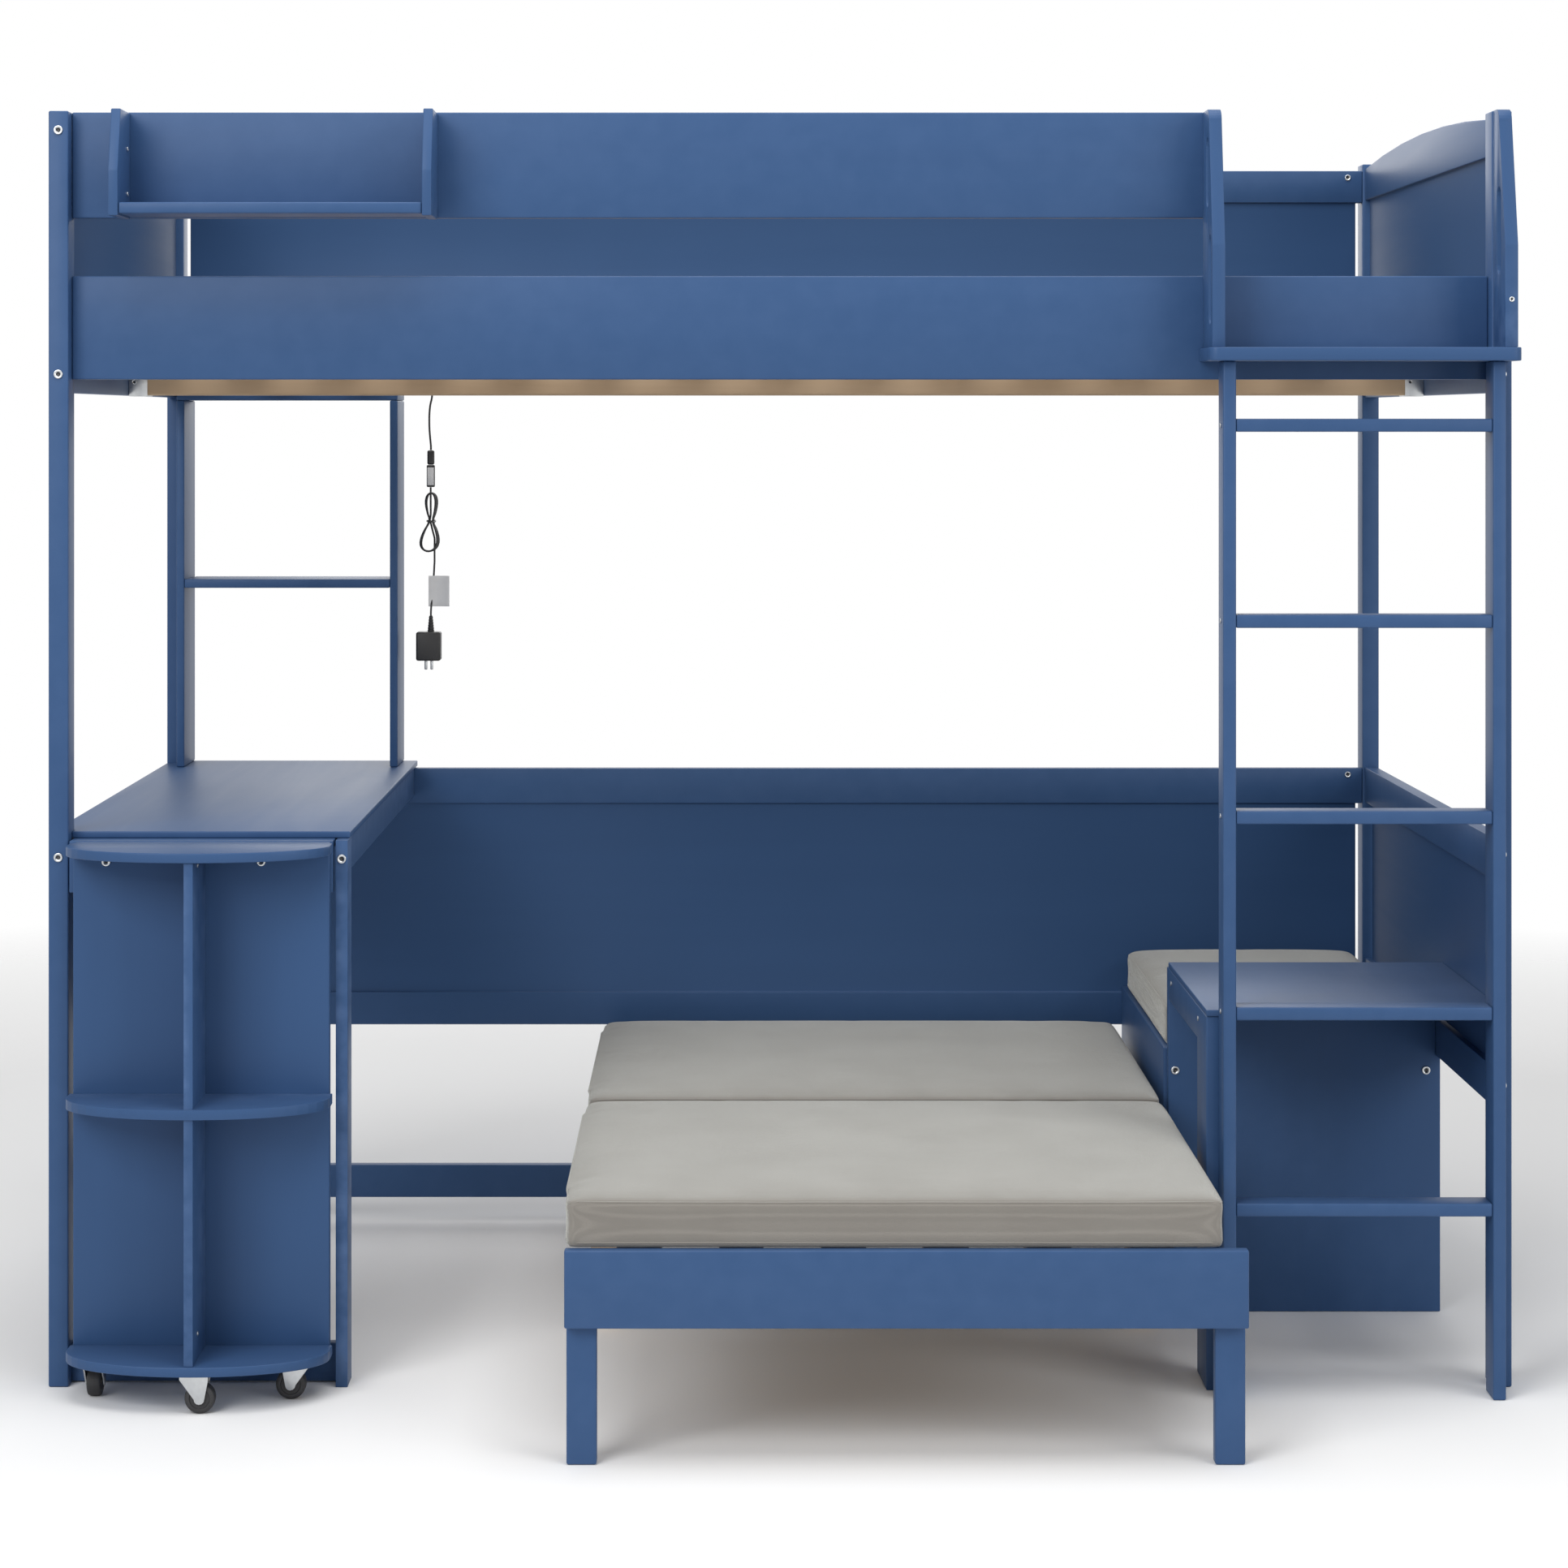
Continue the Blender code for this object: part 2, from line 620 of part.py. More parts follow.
def make_guard_shelf():
    back = RAIL_FACE - GAP
    front = FRONT - GUARD_SHELF_FRONT
    edge = [
        (back, GUARD_SHELF_LOW),
        (back, GUARD_SHELF_TOP),
        (FRONT - GUARD_SHELF_TOP_FRONT, GUARD_SHELF_TOP),
        (front, GUARD_SHELF_KINK),
        (front, GUARD_SHELF_LOW),
    ]
    left = LEFT + GUARD_SHELF_OFFSET
    right = left + GUARD_SHELF_WIDTH
    outline_board("guard_shelf_left_side", "YZ", [edge], left, left + GUARD_SHELF_SIDE)
    outline_board("guard_shelf_right_side", "YZ", [edge], right - GUARD_SHELF_SIDE, right)
    x = (left + GUARD_SHELF_SIDE + GAP, right - GUARD_SHELF_SIDE - GAP)
    z = (GUARD_SHELF_BOARD_LOW, GUARD_SHELF_BOARD_LOW + GUARD_SHELF_BOARD)
    board("guard_shelf_board", x, (front + GUARD_SHELF_BOARD_SETBACK, back), z)


# Desk and hutch

def make_desk():
    front = FRONT + DESK_FRONT
    back = BACK - DESK_BACK_ROOM
    inner = INNER_LEFT + GAP
    outline = [
        (inner, front),
        (DESK_RIGHT, front),
        (DESK_RIGHT, back),
        (inner, back),
        (inner, INNER_BACK - GAP),
        (LEFT + GAP, INNER_BACK - GAP),
        (LEFT + GAP, INNER_FRONT + GAP),
        (inner, INNER_FRONT + GAP),
    ]
    outline_board("desktop", "XY", [outline], DESK_LOW, DESK_TOP)
    top = DESK_LOW - GAP
    z = (top - DESK_APRON_HEIGHT, top)
    left = LEFT + DESK_LEFT_ROOM
    y = (INNER_FRONT + GAP, INNER_BACK - GAP)
    board("desk_left_apron", (left, left + DESK_APRON_THICKNESS), y, z)
    leg_right = DESK_RIGHT - DESK_EDGE_ROOM
    leg_y = (FRONT, FRONT + DESK_LEG_DEPTH)
    leg = board("desk_leg", (leg_right - DESK_LEG_WIDTH, leg_right), leg_y, (0, top), chamfer=0)
    lap = leg_right - DESK_LEG_WIDTH + JOINT_LAP
    rail_y = (RAIL_FACE, RAIL_FACE + FOOT_RAIL_THICKNESS)
    rail_z = (FOOT_RAIL_LOW, FOOT_RAIL_LOW + FOOT_RAIL_HEIGHT)
    join_boxes(leg, [((inner, lap), rail_y, rail_z)], "foot_rail")
    apron_x = (leg_right - DESK_LEG_WIDTH + DESK_EDGE_ROOM, leg_right - DESK_EDGE_ROOM)
    apron_y = (leg_y[1] - JOINT_LAP, INNER_BACK - GAP)
    join_boxes(leg, [(apron_x, apron_y, (z[0], top - GAP))], "apron")


def make_hutch():
    y = (BACK - HUTCH_DEPTH - DESK_BACK_ROOM, BACK - DESK_BACK_ROOM)
    left = INNER_LEFT + GAP
    right = DESK_RIGHT - HUTCH_RIGHT_ROOM
    z = (DESK_TOP + GAP, HUTCH_TOP_LOW - GAP)
    board("hutch_left_upright", (left, left + HUTCH_THICKNESS), y, z)
    board("hutch_right_upright", (right - HUTCH_THICKNESS, right), y, z)
    x = (left + HUTCH_THICKNESS + GAP, right - HUTCH_THICKNESS - GAP)
    shelf_low = (DESK_LOW + HUTCH_TOP_LOW) / 2 - HUTCH_SHELF_DROP
    board("hutch_shelf", x, y, (shelf_low, shelf_low + HUTCH_SHELF_THICKNESS))
    board("hutch_top", (left, right), y, (HUTCH_TOP_LOW, HUTCH_TOP_LOW + HUTCH_SHELF_THICKNESS))


# Pull-out front of the desk

def half_moon():
    """A shelf with a straight back and an elliptic front."""
    back = CART_PANEL_FRONT - GAP
    straight = CART_PANEL_FRONT - CART_STRAIGHT
    right = CART_LEFT + CART_WIDTH
    front = arc((CART_CENTRE, straight), (CART_WIDTH / 2, CART_ROUND), 0.5, 1, CART_ROUND_STEPS)
    return [(right, back), (CART_LEFT, back), *front]


def make_cart(parent):
    panel_x = (CART_LEFT + CART_PANEL_INSET, CART_LEFT + CART_WIDTH - CART_PANEL_INSET)
    panel_y = (CART_PANEL_FRONT, CART_PANEL_FRONT + CART_PANEL_THICKNESS)
    top = DESK_LOW - GAP
    board("cart_back", panel_x, panel_y, (CART_LOW, CART_TOP + CART_SHELF_THICKNESS), parent=parent)
    for word, low in (("bottom", CART_LOW), ("top", CART_TOP)):
        high = low + CART_SHELF_THICKNESS
        outline_board(f"cart_{word}_shelf", "XY", [half_moon()], low, high, parent=parent)
    high = CART_MIDDLE + CART_SHELF_THICKNESS
    middle = outline_mesh("cart_middle_shelf", "XY", [half_moon()], CART_MIDDLE, high, parent=parent)
    x = (CART_CENTRE - DIVIDER_THICKNESS / 2, CART_CENTRE + DIVIDER_THICKNESS / 2)
    tip = CART_PANEL_FRONT - CART_STRAIGHT - CART_ROUND
    y = (tip + DIVIDER_FRONT_ROOM, CART_PANEL_FRONT - GAP - DIVIDER_FRONT_ROOM / 2)
    z = (CART_LOW + CART_SHELF_THICKNESS + GAP, CART_TOP - GAP)
    join_boxes(middle, [(x, y, z)], "divider")
    rail = panel_y[1] + GAP
    left = INNER_LEFT + SLIDING_TOP_SIDE_ROOM
    right = DESK_RIGHT - DESK_EDGE_ROOM - DESK_APRON_THICKNESS - SLIDING_TOP_SIDE_ROOM / 2
    section = [
        (rail, top - SLIDING_RAIL_HEIGHT),
        (rail + SLIDING_RAIL_THICKNESS, top - SLIDING_RAIL_HEIGHT),
        (rail + SLIDING_RAIL_THICKNESS, top - SLIDING_TOP_THICKNESS),
        (rail + SLIDING_TOP_LENGTH, top - SLIDING_TOP_THICKNESS),
        (rail + SLIDING_TOP_LENGTH, top),
        (rail, top),
    ]
    outline_board("sliding_desktop", "YZ", [section], left, right, parent=parent)


def fork_outline():
    """The fork from its side: a flat top over the swivel axis and a tail that reaches the axle."""
    top = CART_LOW - GAP
    shoulder = top - FORK_TOP_WALL
    return [
        (-FORK_NECK, top),
        (-FORK_NECK, shoulder),
        (CASTER_TRAIL - FORK_FOOT, WHEEL_RADIUS),
        *arc((CASTER_TRAIL, WHEEL_RADIUS), (FORK_FOOT, FORK_FOOT), 0.5, 1),
        (CASTER_TRAIL + FORK_NECK, shoulder),
        (CASTER_TRAIL + FORK_NECK, top),
    ]


def make_caster(name, place, heading, parent):
    """A swivel fork on its axis, with its wheel on the axle behind it."""
    inside = WHEEL_WIDTH / 2 + FORK_ROOM
    outside = inside + FORK_WALL
    fork = outline_mesh(f"{name}_fork", "XZ", [fork_outline()], -outside, outside, STEEL)
    turned = fork.data
    turned.transform(fork.matrix_world)
    fork.matrix_world.identity()
    reach = CASTER_TRAIL + 2 * WHEEL_RADIUS
    slot_top = CART_LOW - GAP - FORK_TOP_WALL
    cutter = helper_box(f"{name}_wheel_space", (-reach, reach), (-inside, inside), (-WHEEL_RADIUS, slot_top))
    axle = cylinder(
        f"{name}_axle", AXLE_RADIUS, AXLE_RADIUS, inside + outside, (CASTER_TRAIL, 0, WHEEL_RADIUS),
        (pi / 2, 0, 0), AXLE_SIDES, STEEL, HELPERS,
    )
    for helper in (cutter, axle):
        helper.parent = fork
    boolean(fork, cutter, "DIFFERENCE")
    boolean(fork, axle)
    fork.location = (*place, 0)
    fork.rotation_euler = (0, 0, heading)
    fork.parent = parent
    half = WHEEL_WIDTH / 2
    bore = AXLE_RADIUS + AXLE_ROOM
    profile = [
        (bore, 0, half),
        (WHEEL_RADIUS - WHEEL_ROUND, 0, half),
        (WHEEL_RADIUS, 0, half - WHEEL_ROUND),
        (WHEEL_RADIUS, 0, WHEEL_ROUND - half),
        (WHEEL_RADIUS - WHEEL_ROUND, 0, -half),
        (bore, 0, -half),
    ]
    count = len(profile)
    mesh = bpy.data.meshes.new(f"{name}_wheel")
    mesh.from_pydata(profile, [(i, (i + 1) % count) for i in range(count)], [])
    wheel = add_object(f"{name}_wheel", mesh, RUBBER, fork)
    wheel.location = (CASTER_TRAIL, 0, WHEEL_RADIUS)
    wheel.rotation_euler = (pi / 2, 0, 0)
    turn = wheel.modifiers.new("Turned", "SCREW")
    turn.steps = WHEEL_STEPS
    turn.render_steps = WHEEL_STEPS
    turn.use_merge_vertices = True
    turn.merge_threshold = GAP / 10


def make_casters(parent):
    rear = CART_PANEL_FRONT - CASTER_REAR_INSET
    front = CART_PANEL_FRONT - CASTER_FRONT_INSET
    make_caster("left_caster", (CART_CENTRE - CASTER_SPREAD, rear), pi / 2, parent)
    make_caster("right_caster", (CART_CENTRE + CASTER_SPREAD, rear), pi, parent)
    make_caster("front_caster", (CART_CENTRE, front), 0, parent)


# Lower panels

def make_lower_back():
    x = (INNER_LEFT + GAP, INNER_RIGHT - GAP)
    y = (INNER_BACK, INNER_BACK + RAIL_THICKNESS)
    bottom = (LOWER_BACK_LOW, LOWER_BACK_LOW + LOWER_BACK_BOTTOM_RAIL)
    top = (LOWER_BACK_TOP_LOW, LOWER_BACK_TOP_LOW + LOWER_BACK_TOP_RAIL)
    back = board("lower_back", x, y, bottom, chamfer=0)
    centre = sum(y) / 2
    panel_x = (x[0] + PANEL_GROOVE, x[1] - PANEL_GROOVE)
    panel_y = (centre - PANEL_THICKNESS / 2, centre + PANEL_THICKNESS / 2)
    panel_z = (bottom[1] - PANEL_GROOVE, top[0] + PANEL_GROOVE)
    join_boxes(back, [(panel_x, panel_y, panel_z)], "panel")
    join_boxes(back, [(x, y, top)], "top_rail")
    board("floor_stretcher", x, y, (STRETCHER_LOW, STRETCHER_LOW + STRETCHER_HEIGHT))


def make_lower_end():
    x = (RIGHT - END_SETBACK - END_THICKNESS, RIGHT - END_SETBACK)
    y = (INNER_FRONT + GAP, INNER_BACK - GAP)
    bottom = (LOWER_END_LOW, LOWER_END_LOW + LOWER_END_BOTTOM_RAIL)
    top = (LOWER_END_TOP_LOW, LOWER_END_TOP_LOW + LOWER_END_TOP_RAIL)
    end = board("lower_end", x, y, bottom, chamfer=0)
    centre = sum(x) / 2 + PANEL_THICKNESS / 2
    panel_x = (centre - PANEL_THICKNESS / 2, centre + PANEL_THICKNESS / 2)
    panel_y = (y[0] + PANEL_GROOVE, y[1] - PANEL_GROOVE)
    join_boxes(end, [(panel_x, panel_y, (bottom[1] - PANEL_GROOVE, top[0] + PANEL_GROOVE))], "panel")
    join_boxes(end, [(x, y, top)], "top_rail")


# Bench and small table

def make_bench():
    inner = RIGHT - END_SETBACK - END_THICKNESS - GAP
    left = RIGHT - BENCH_PANEL_OFFSET
    front = FRONT + BENCH_FRONT
    back = front + BENCH_BOARD
    outline = [
        (left, 0),
        (inner + BENCH_LOWER_EXTRA, 0),
        (inner + BENCH_LOWER_EXTRA, LOWER_END_LOW - GAP),
        (inner, LOWER_END_LOW - GAP),
        (inner, BENCH_PANEL_TOP),
        (left, BENCH_PANEL_TOP),
    ]
    outline_board("bench_end_panel", "XZ", [outline], front, back)
    side = RIGHT - BENCH_OFFSET
    seat_low = BENCH_SEAT_TOP - BENCH_BOARD
    section = [
        (side, 0),
        (side + BENCH_BOARD, 0),
        (side + BENCH_BOARD, seat_low),
        (inner, seat_low),
        (inner, BENCH_SEAT_TOP),
        (side, BENCH_SEAT_TOP),
    ]
    outline_board("bench_seat", "XZ", [section], back + GAP, INNER_BACK - GAP)


def make_table():
    left = RIGHT - BENCH_PANEL_OFFSET
    front = FRONT - TABLE_FRONT
    back = FRONT + BENCH_FRONT - GAP
    right = RIGHT - END_SETBACK - END_THICKNESS / 2 - GAP
    notch = INNER_RIGHT - GAP
    outline = [
        (left, front),
        (notch, front),
        (notch, INNER_FRONT + GAP),
        (right, INNER_FRONT + GAP),
        (right, back),
        (left, back),
    ]
    outline_board("table_top", "XY", [outline], TABLE_LOW, TABLE_LOW + TABLE_THICKNESS)
    top = TABLE_LOW - GAP
    leg_front = FRONT - TABLE_LEG_FRONT
    leg_back = FRONT + TABLE_LEG_BACK
    side = [
        (leg_front, 0),
        (leg_back, 0),
        (leg_back, top - TABLE_APRON_HEIGHT),
        (back, top - TABLE_APRON_HEIGHT),
        (back, top),
        (leg_front, top),
    ]
    outline_board("table_side", "YZ", [side], left, left + TABLE_SIDE_THICKNESS)


# Lower bed

def bed_slat_places(first, count):
    """Places along X of every second slat, from the given slat on."""
    lows = [BED_LEFT + (first + 2 * i) * BED_SLAT_PITCH for i in range(count)]
    return [(low, low + BED_SLAT_WIDTH) for low in lows]


def make_fixed_bed():
    places = bed_slat_places(0, MOVING_SLATS + 1)
    front = FRONT + FIXED_BED_FRONT
    back = INNER_BACK - FIXED_BED_BACK_ROOM
    slat_low = BED_TOP - FIXED_SLAT_THICKNESS
    rail_top = BED_TOP - MOVING_SLAT_THICKNESS - GAP
    x = (places[0][0], RIGHT - BENCH_OFFSET - GAP)
    z = (rail_top - FIXED_RAIL_HEIGHT, rail_top)
    base = board("fixed_bed_base", x, (front, front + FIXED_RAIL_DEPTH), z, PINE, chamfer=0)
    rear = (back - FIXED_RAIL_DEPTH, back)
    join_boxes(base, [(x, rear, z)], "rear_rail")
    inset = FIXED_RAIL_DEPTH / 4
    slats = [(place, (front + inset, back - inset), (slat_low, BED_TOP)) for place in places]
    join_boxes(base, slats, "slat")
    legs = []
    for y in ((front, front + FIXED_RAIL_DEPTH), rear):
        leg_y = (y[0] + inset, y[1] - inset)
        for low in (x[0] + inset, places[-1][1] - FIXED_LEG_WIDTH - inset):
            legs.append(((low, low + FIXED_LEG_WIDTH), leg_y, (0, z[0] + JOINT_LAP)))
    join_boxes(base, legs, "leg")


def make_pull_out_bed(parent):
    right = RIGHT - PULL_BOARD_OFFSET
    left = BED_LEFT
    y = (PULL_FRONT, PULL_FRONT + PULL_BOARD_THICKNESS)
    z = (BED_TOP - PULL_BOARD_HEIGHT, BED_TOP)
    base = board("pull_out_base", (left, right), y, z, PAINT, parent, chamfer=0)
    slat_y = (y[1] - JOINT_LAP, FRONT + MOVING_SLAT_REACH)
    slat_z = (BED_TOP - MOVING_SLAT_THICKNESS, BED_TOP - CHAMFER)
    slats = [(place, slat_y, slat_z) for place in bed_slat_places(1, MOVING_SLATS)]
    batten_x = (slats[0][0][0] - JOINT_LAP, slats[-1][0][1] + JOINT_LAP)
    batten_top = slat_z[0] + SLAT_SEAT
    batten_y = (y[1] - JOINT_LAP / 2, y[1] + PULL_BATTEN_DEPTH)
    join_boxes(base, [(batten_x, batten_y, (batten_top - PULL_BATTEN_HEIGHT, batten_top))], "batten")
    join_boxes(base, slats, "slat")
    leg_y = (y[1] - JOINT_LAP * 3 / 4, y[1] + PULL_LEG_DEPTH)
    legs = []
    for low in (left + PULL_LEG_SIDE_ROOM, right - PULL_LEG_SIDE_ROOM - PULL_LEG_WIDTH):
        legs.append(((low, low + PULL_LEG_WIDTH), leg_y, (0, z[0] + PULL_BOARD_HEIGHT / 2)))
    join_boxes(base, legs, "leg")


def make_cushion(name, x, y, low):
    """A boxed cushion with a crowned top, drawn-in sides and soft edges."""
    form = bmesh.new()
    bmesh.ops.create_cube(form, size=1.0)
    bmesh.ops.subdivide_edges(form, edges=form.edges[:], cuts=CUSHION_CUTS, use_grid_fill=True)
    edge_height = CUSHION_HEIGHT - CUSHION_CROWN
    for vertex in form.verts:
        u, v, w = (2 * part for part in vertex.co)
        rise = (w + 1) / 2
        drawn = CUSHION_DRAW * (1 - w * w)
        vertex.co.x = u * ((x[1] - x[0]) / 2 - drawn)
        vertex.co.y = v * ((y[1] - y[0]) / 2 - drawn)
        vertex.co.z = rise * (edge_height + CUSHION_CROWN * (1 - u * u) * (1 - v * v))
    mesh = bpy.data.meshes.new(name)
    form.to_mesh(mesh)
    form.free()
    obj = add_object(name, mesh, FABRIC)
    obj.location = (sum(x) / 2, sum(y) / 2, low)
    edge = obj.modifiers.new("Soft edges", "BEVEL")
    edge.width = CUSHION_ROUND
    edge.segments = 2
    edge.limit_method = "ANGLE"
    edge.angle_limit = pi / 3


def make_cushions():
    x = (BED_LEFT - CUSHION_OVERHANG, RIGHT - CUSHION_RIGHT_OFFSET)
    seam = FRONT + CUSHION_SEAM
    back = INNER_BACK - CUSHION_BACK_ROOM
    make_cushion("front_cushion", x, (PULL_FRONT, seam), BED_TOP + GAP)
    make_cushion("rear_cushion", x, (seam + GAP, back), BED_TOP + GAP)
    bench_x = (x[1], RIGHT - BENCH_CUSHION_RIGHT)
    bench_y = (FRONT + BENCH_FRONT + BENCH_CUSHION_FRONT, INNER_BACK - BENCH_CUSHION_BACK)
    make_cushion("bench_cushion", bench_x, bench_y, BENCH_SEAT_TOP + GAP)


# Power lead of the light strip

CORD_X = DESK_RIGHT + CORD_RIGHT_OF_DESK
CORD_Y = INNER_BACK - GAP - CLEAT_DEPTH / 2
CLEAT_LOW = BEAM_TOP + GAP + SLAT_SEAT - CLEAT_HEIGHT
RELIEF_TOP = ADAPTER_TOP + RELIEF_HEIGHT


def make_cord(name, points, bevel_resolution):
    """A round cord through the given points, with flat ends."""
    curve = bpy.data.curves.new(name, "CURVE")
    curve.dimensions = "3D"
    curve.bevel_depth = CORD_DIAMETER / 2
    curve.bevel_resolution = bevel_resolution
    curve.use_fill_caps = True
    spline = curve.splines.new("POLY")
    spline.points.add(len(points) - 1)
    for point, place in zip(spline.points, points):
        point.co = (*place, 1)
    return add_object(name, curve, PLASTIC)


def hank_place(step):
    """The centre of the hank's cord after that many steps of its loops."""
    quarter = HANK_POINTS // 4
    turn = step / HANK_POINTS
    part = step // quarter % 4
    along = step % quarter / quarter
    toward_tip = part in (0, 2)
    share = along if toward_tip else 1 - along
    side = -1 if part in (0, 3) else 1
    lower = part in (0, 1)
    half = (HANK_LOWER_HALF if lower else HANK_UPPER_HALF) + HANK_GROWTH * turn
    shift = HANK_LOWER_SHIFT if lower else 0
    x = shift * sin(pi / 2 * share) + side * (HANK_WAIST * (1 - share) + half * sin(pi * share))
    reach = HANK_LOWER_REACH if lower else -HANK_UPPER_REACH
    z = HANK_WAIST_HEIGHT - reach * sin(pi / 2 * share)
    late = max(0, step - HANK_POINTS * HANK_TURNS + quarter) / quarter
    return (CORD_X + x, CORD_Y + HANK_PITCH * turn + HANK_EXIT_SETBACK * late, z)


def hank_points():
    """One unbroken path: in from above, round the loops, and out below."""
    entry_y = CORD_Y - HANK_ENTRY_SETBACK
    top = CONTROLLER_TOP - CONTROLLER_HEIGHT - GAP
    drop = top - HANK_WAIST_HEIGHT
    entry = [(CORD_X, entry_y, top - drop * i / 5) for i in range(5)]
    loops = [hank_place(step) for step in range(HANK_POINTS * HANK_TURNS + 1)]
    last = loops[-1]
    exit_x = CORD_X + HANK_EXIT_SHIFT
    fall = last[2] - HANK_END_HEIGHT
    leave = []
    for i in range(1, 8):
        share = i / 7
        ease = min(1, share * 7 / 3)
        leave.append((last[0] + (exit_x - last[0]) * ease, last[1], last[2] - fall * share))
    return entry + loops + leave


def least_gap(points):
    """The least clear space between stretches of the cord that aren't neighbours."""
    fine = []
    for a, b in zip(points, points[1:]):
        fine += [tuple(p + (q - p) * i / 4 for p, q in zip(a, b)) for i in range(4)]
    reach = 4 * CORD_DIAMETER
    runs = [0.0]
    for a, b in zip(fine, fine[1:]):
        runs.append(runs[-1] + sum((p - q) ** 2 for p, q in zip(a, b)) ** 0.5)
    least = LENGTH
    for i, a in enumerate(fine):
        for j in range(i + 1, len(fine)):
            if runs[j] - runs[i] > reach:
                least = min(least, sum((p - q) ** 2 for p, q in zip(a, fine[j])) ** 0.5)
    return least - CORD_DIAMETER


def make_light_lead():
    top = CLEAT_LOW - GAP
    lead = [(CORD_X + LEAD_ROUTE[0][0], CORD_Y, top)]
    for x, y, z in LEAD_ROUTE:
        lead.append((CORD_X + x, CORD_Y + y, top + z))
    lead.append((CORD_X, CORD_Y, CONTROLLER_TOP + GAP))
    make_cord("led_lead", lead, 2)
    half = CONTROLLER_WIDTH / 2
    y = (CORD_Y - HANK_ENTRY_SETBACK - CONTROLLER_DEPTH / 4, CORD_Y + CONTROLLER_DEPTH / 2)
    z = (CONTROLLER_TOP - CONTROLLER_HEIGHT, CONTROLLER_TOP)
    board("led_controller", (CORD_X - half, CORD_X + half), y, z, PLASTIC)
    loops = hank_points()
    print(f"least gap of the hank to itself: {least_gap(loops) * 1000:.2f} mm")
    make_cord("cord_hank", loops, 1)
    start = loops[-1]
    fall = start[2] - GAP - (RELIEF_TOP + GAP)
    tail = []
    for across, down in TAIL_ROUTE_SHARES:
        place_x = CORD_X + (start[0] - CORD_X) * across
        place_y = CORD_Y + (start[1] - CORD_Y) * across
        tail.append((place_x, place_y, start[2] - GAP - fall * down))
    make_cord("led_tail", tail, 2)


def make_adapter():
    centre = CORD_X + ADAPTER_SHIFT
    x = (centre - ADAPTER_WIDTH / 2, centre + ADAPTER_WIDTH / 2)
    y = (CORD_Y - ADAPTER_DEPTH / 2, CORD_Y + ADAPTER_DEPTH / 2)
    low = ADAPTER_TOP - ADAPTER_HEIGHT
    adapter = board("power_adapter", x, y, (low, ADAPTER_TOP), PLASTIC, chamfer=0)
    length = RELIEF_HEIGHT + JOINT_LAP
    relief = cylinder(
        "adapter_relief", RELIEF_RADIUS, RELIEF_TOP_RADIUS, length,
        (CORD_X, CORD_Y, RELIEF_TOP - length / 2), (0, 0, 0), ROUND_SIDES, PLASTIC, HELPERS,
    )
    boolean(adapter, relief)
    for number, side in enumerate((-1, 1), 1):
        length = PRONG_LENGTH + JOINT_LAP
        place = (centre + side * PRONG_SPREAD / 2, CORD_Y, low - PRONG_LENGTH + length / 2)
        prong = cylinder(
            f"adapter_prong_{number}", PRONG_RADIUS, PRONG_RADIUS, length, place, (0, 0, 0),
            ROUND_SIDES, STEEL, HELPERS,
        )
        boolean(adapter, prong)


def main():
    make_posts()
    make_loft_rails()
    make_ends()
    make_loft_base()
    make_ladder()
    make_platform()
    make_handrails()
    make_guard_shelf()
    make_desk()
    make_hutch()
    pull_out_desk = empty("pull_out_desk")
    make_cart(pull_out_desk)
    make_casters(pull_out_desk)
    make_lower_back()
    make_lower_end()
    make_bench()
    make_table()
    make_fixed_bed()
    make_pull_out_bed(empty("pull_out_bed"))
    make_cushions()
    make_light_lead()
    make_adapter()


main()
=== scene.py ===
"""Looks for a painted loft bed with a ladder, a desk with rolling shelves, a bench and a lower bed.

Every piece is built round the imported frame, in metres. Places come from the frame's nodes and from
named sizes.
"""

import logging
from dataclasses import dataclass, field
from enum import Enum
from math import cos, pi, radians, sin
from typing import Callable, Iterable, Sequence

import bpy
from mathutils import Matrix, Vector


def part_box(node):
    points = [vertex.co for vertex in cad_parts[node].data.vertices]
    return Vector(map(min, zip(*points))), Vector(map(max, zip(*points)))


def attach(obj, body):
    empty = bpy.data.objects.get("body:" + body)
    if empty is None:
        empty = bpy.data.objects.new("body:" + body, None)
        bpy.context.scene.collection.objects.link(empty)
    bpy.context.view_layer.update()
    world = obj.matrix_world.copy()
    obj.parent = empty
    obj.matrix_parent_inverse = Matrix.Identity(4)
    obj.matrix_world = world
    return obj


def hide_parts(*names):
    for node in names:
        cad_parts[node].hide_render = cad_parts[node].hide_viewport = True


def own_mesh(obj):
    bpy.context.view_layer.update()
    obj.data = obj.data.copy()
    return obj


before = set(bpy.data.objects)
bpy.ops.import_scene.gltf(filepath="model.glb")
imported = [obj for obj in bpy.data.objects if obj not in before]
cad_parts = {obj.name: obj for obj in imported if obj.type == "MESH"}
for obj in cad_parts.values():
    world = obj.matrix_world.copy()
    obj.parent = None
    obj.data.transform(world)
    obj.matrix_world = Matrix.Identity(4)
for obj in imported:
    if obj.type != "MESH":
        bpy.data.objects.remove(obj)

LOG = logging.getLogger("loft_bed")
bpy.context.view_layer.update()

Point = Sequence[float]
Rgb = tuple[float, float, float]


class Axis(Enum):
    """An axis of the frame, as the place of its coordinate."""

    X = 0
    Y = 1
    Z = 2


class Body(Enum):
    """The bodies that pieces ride on."""

    FRAME = "frame"
    BED = "pull_out_bed"
    DESK = "pull_out_desk"
    LEFT_SWIVEL = "left_swivel"
    RIGHT_SWIVEL = "right_swivel"
    FRONT_SWIVEL = "front_swivel"
    LEFT_WHEEL = "left_wheel"
    RIGHT_WHEEL = "right_wheel"
    FRONT_WHEEL = "front_wheel"


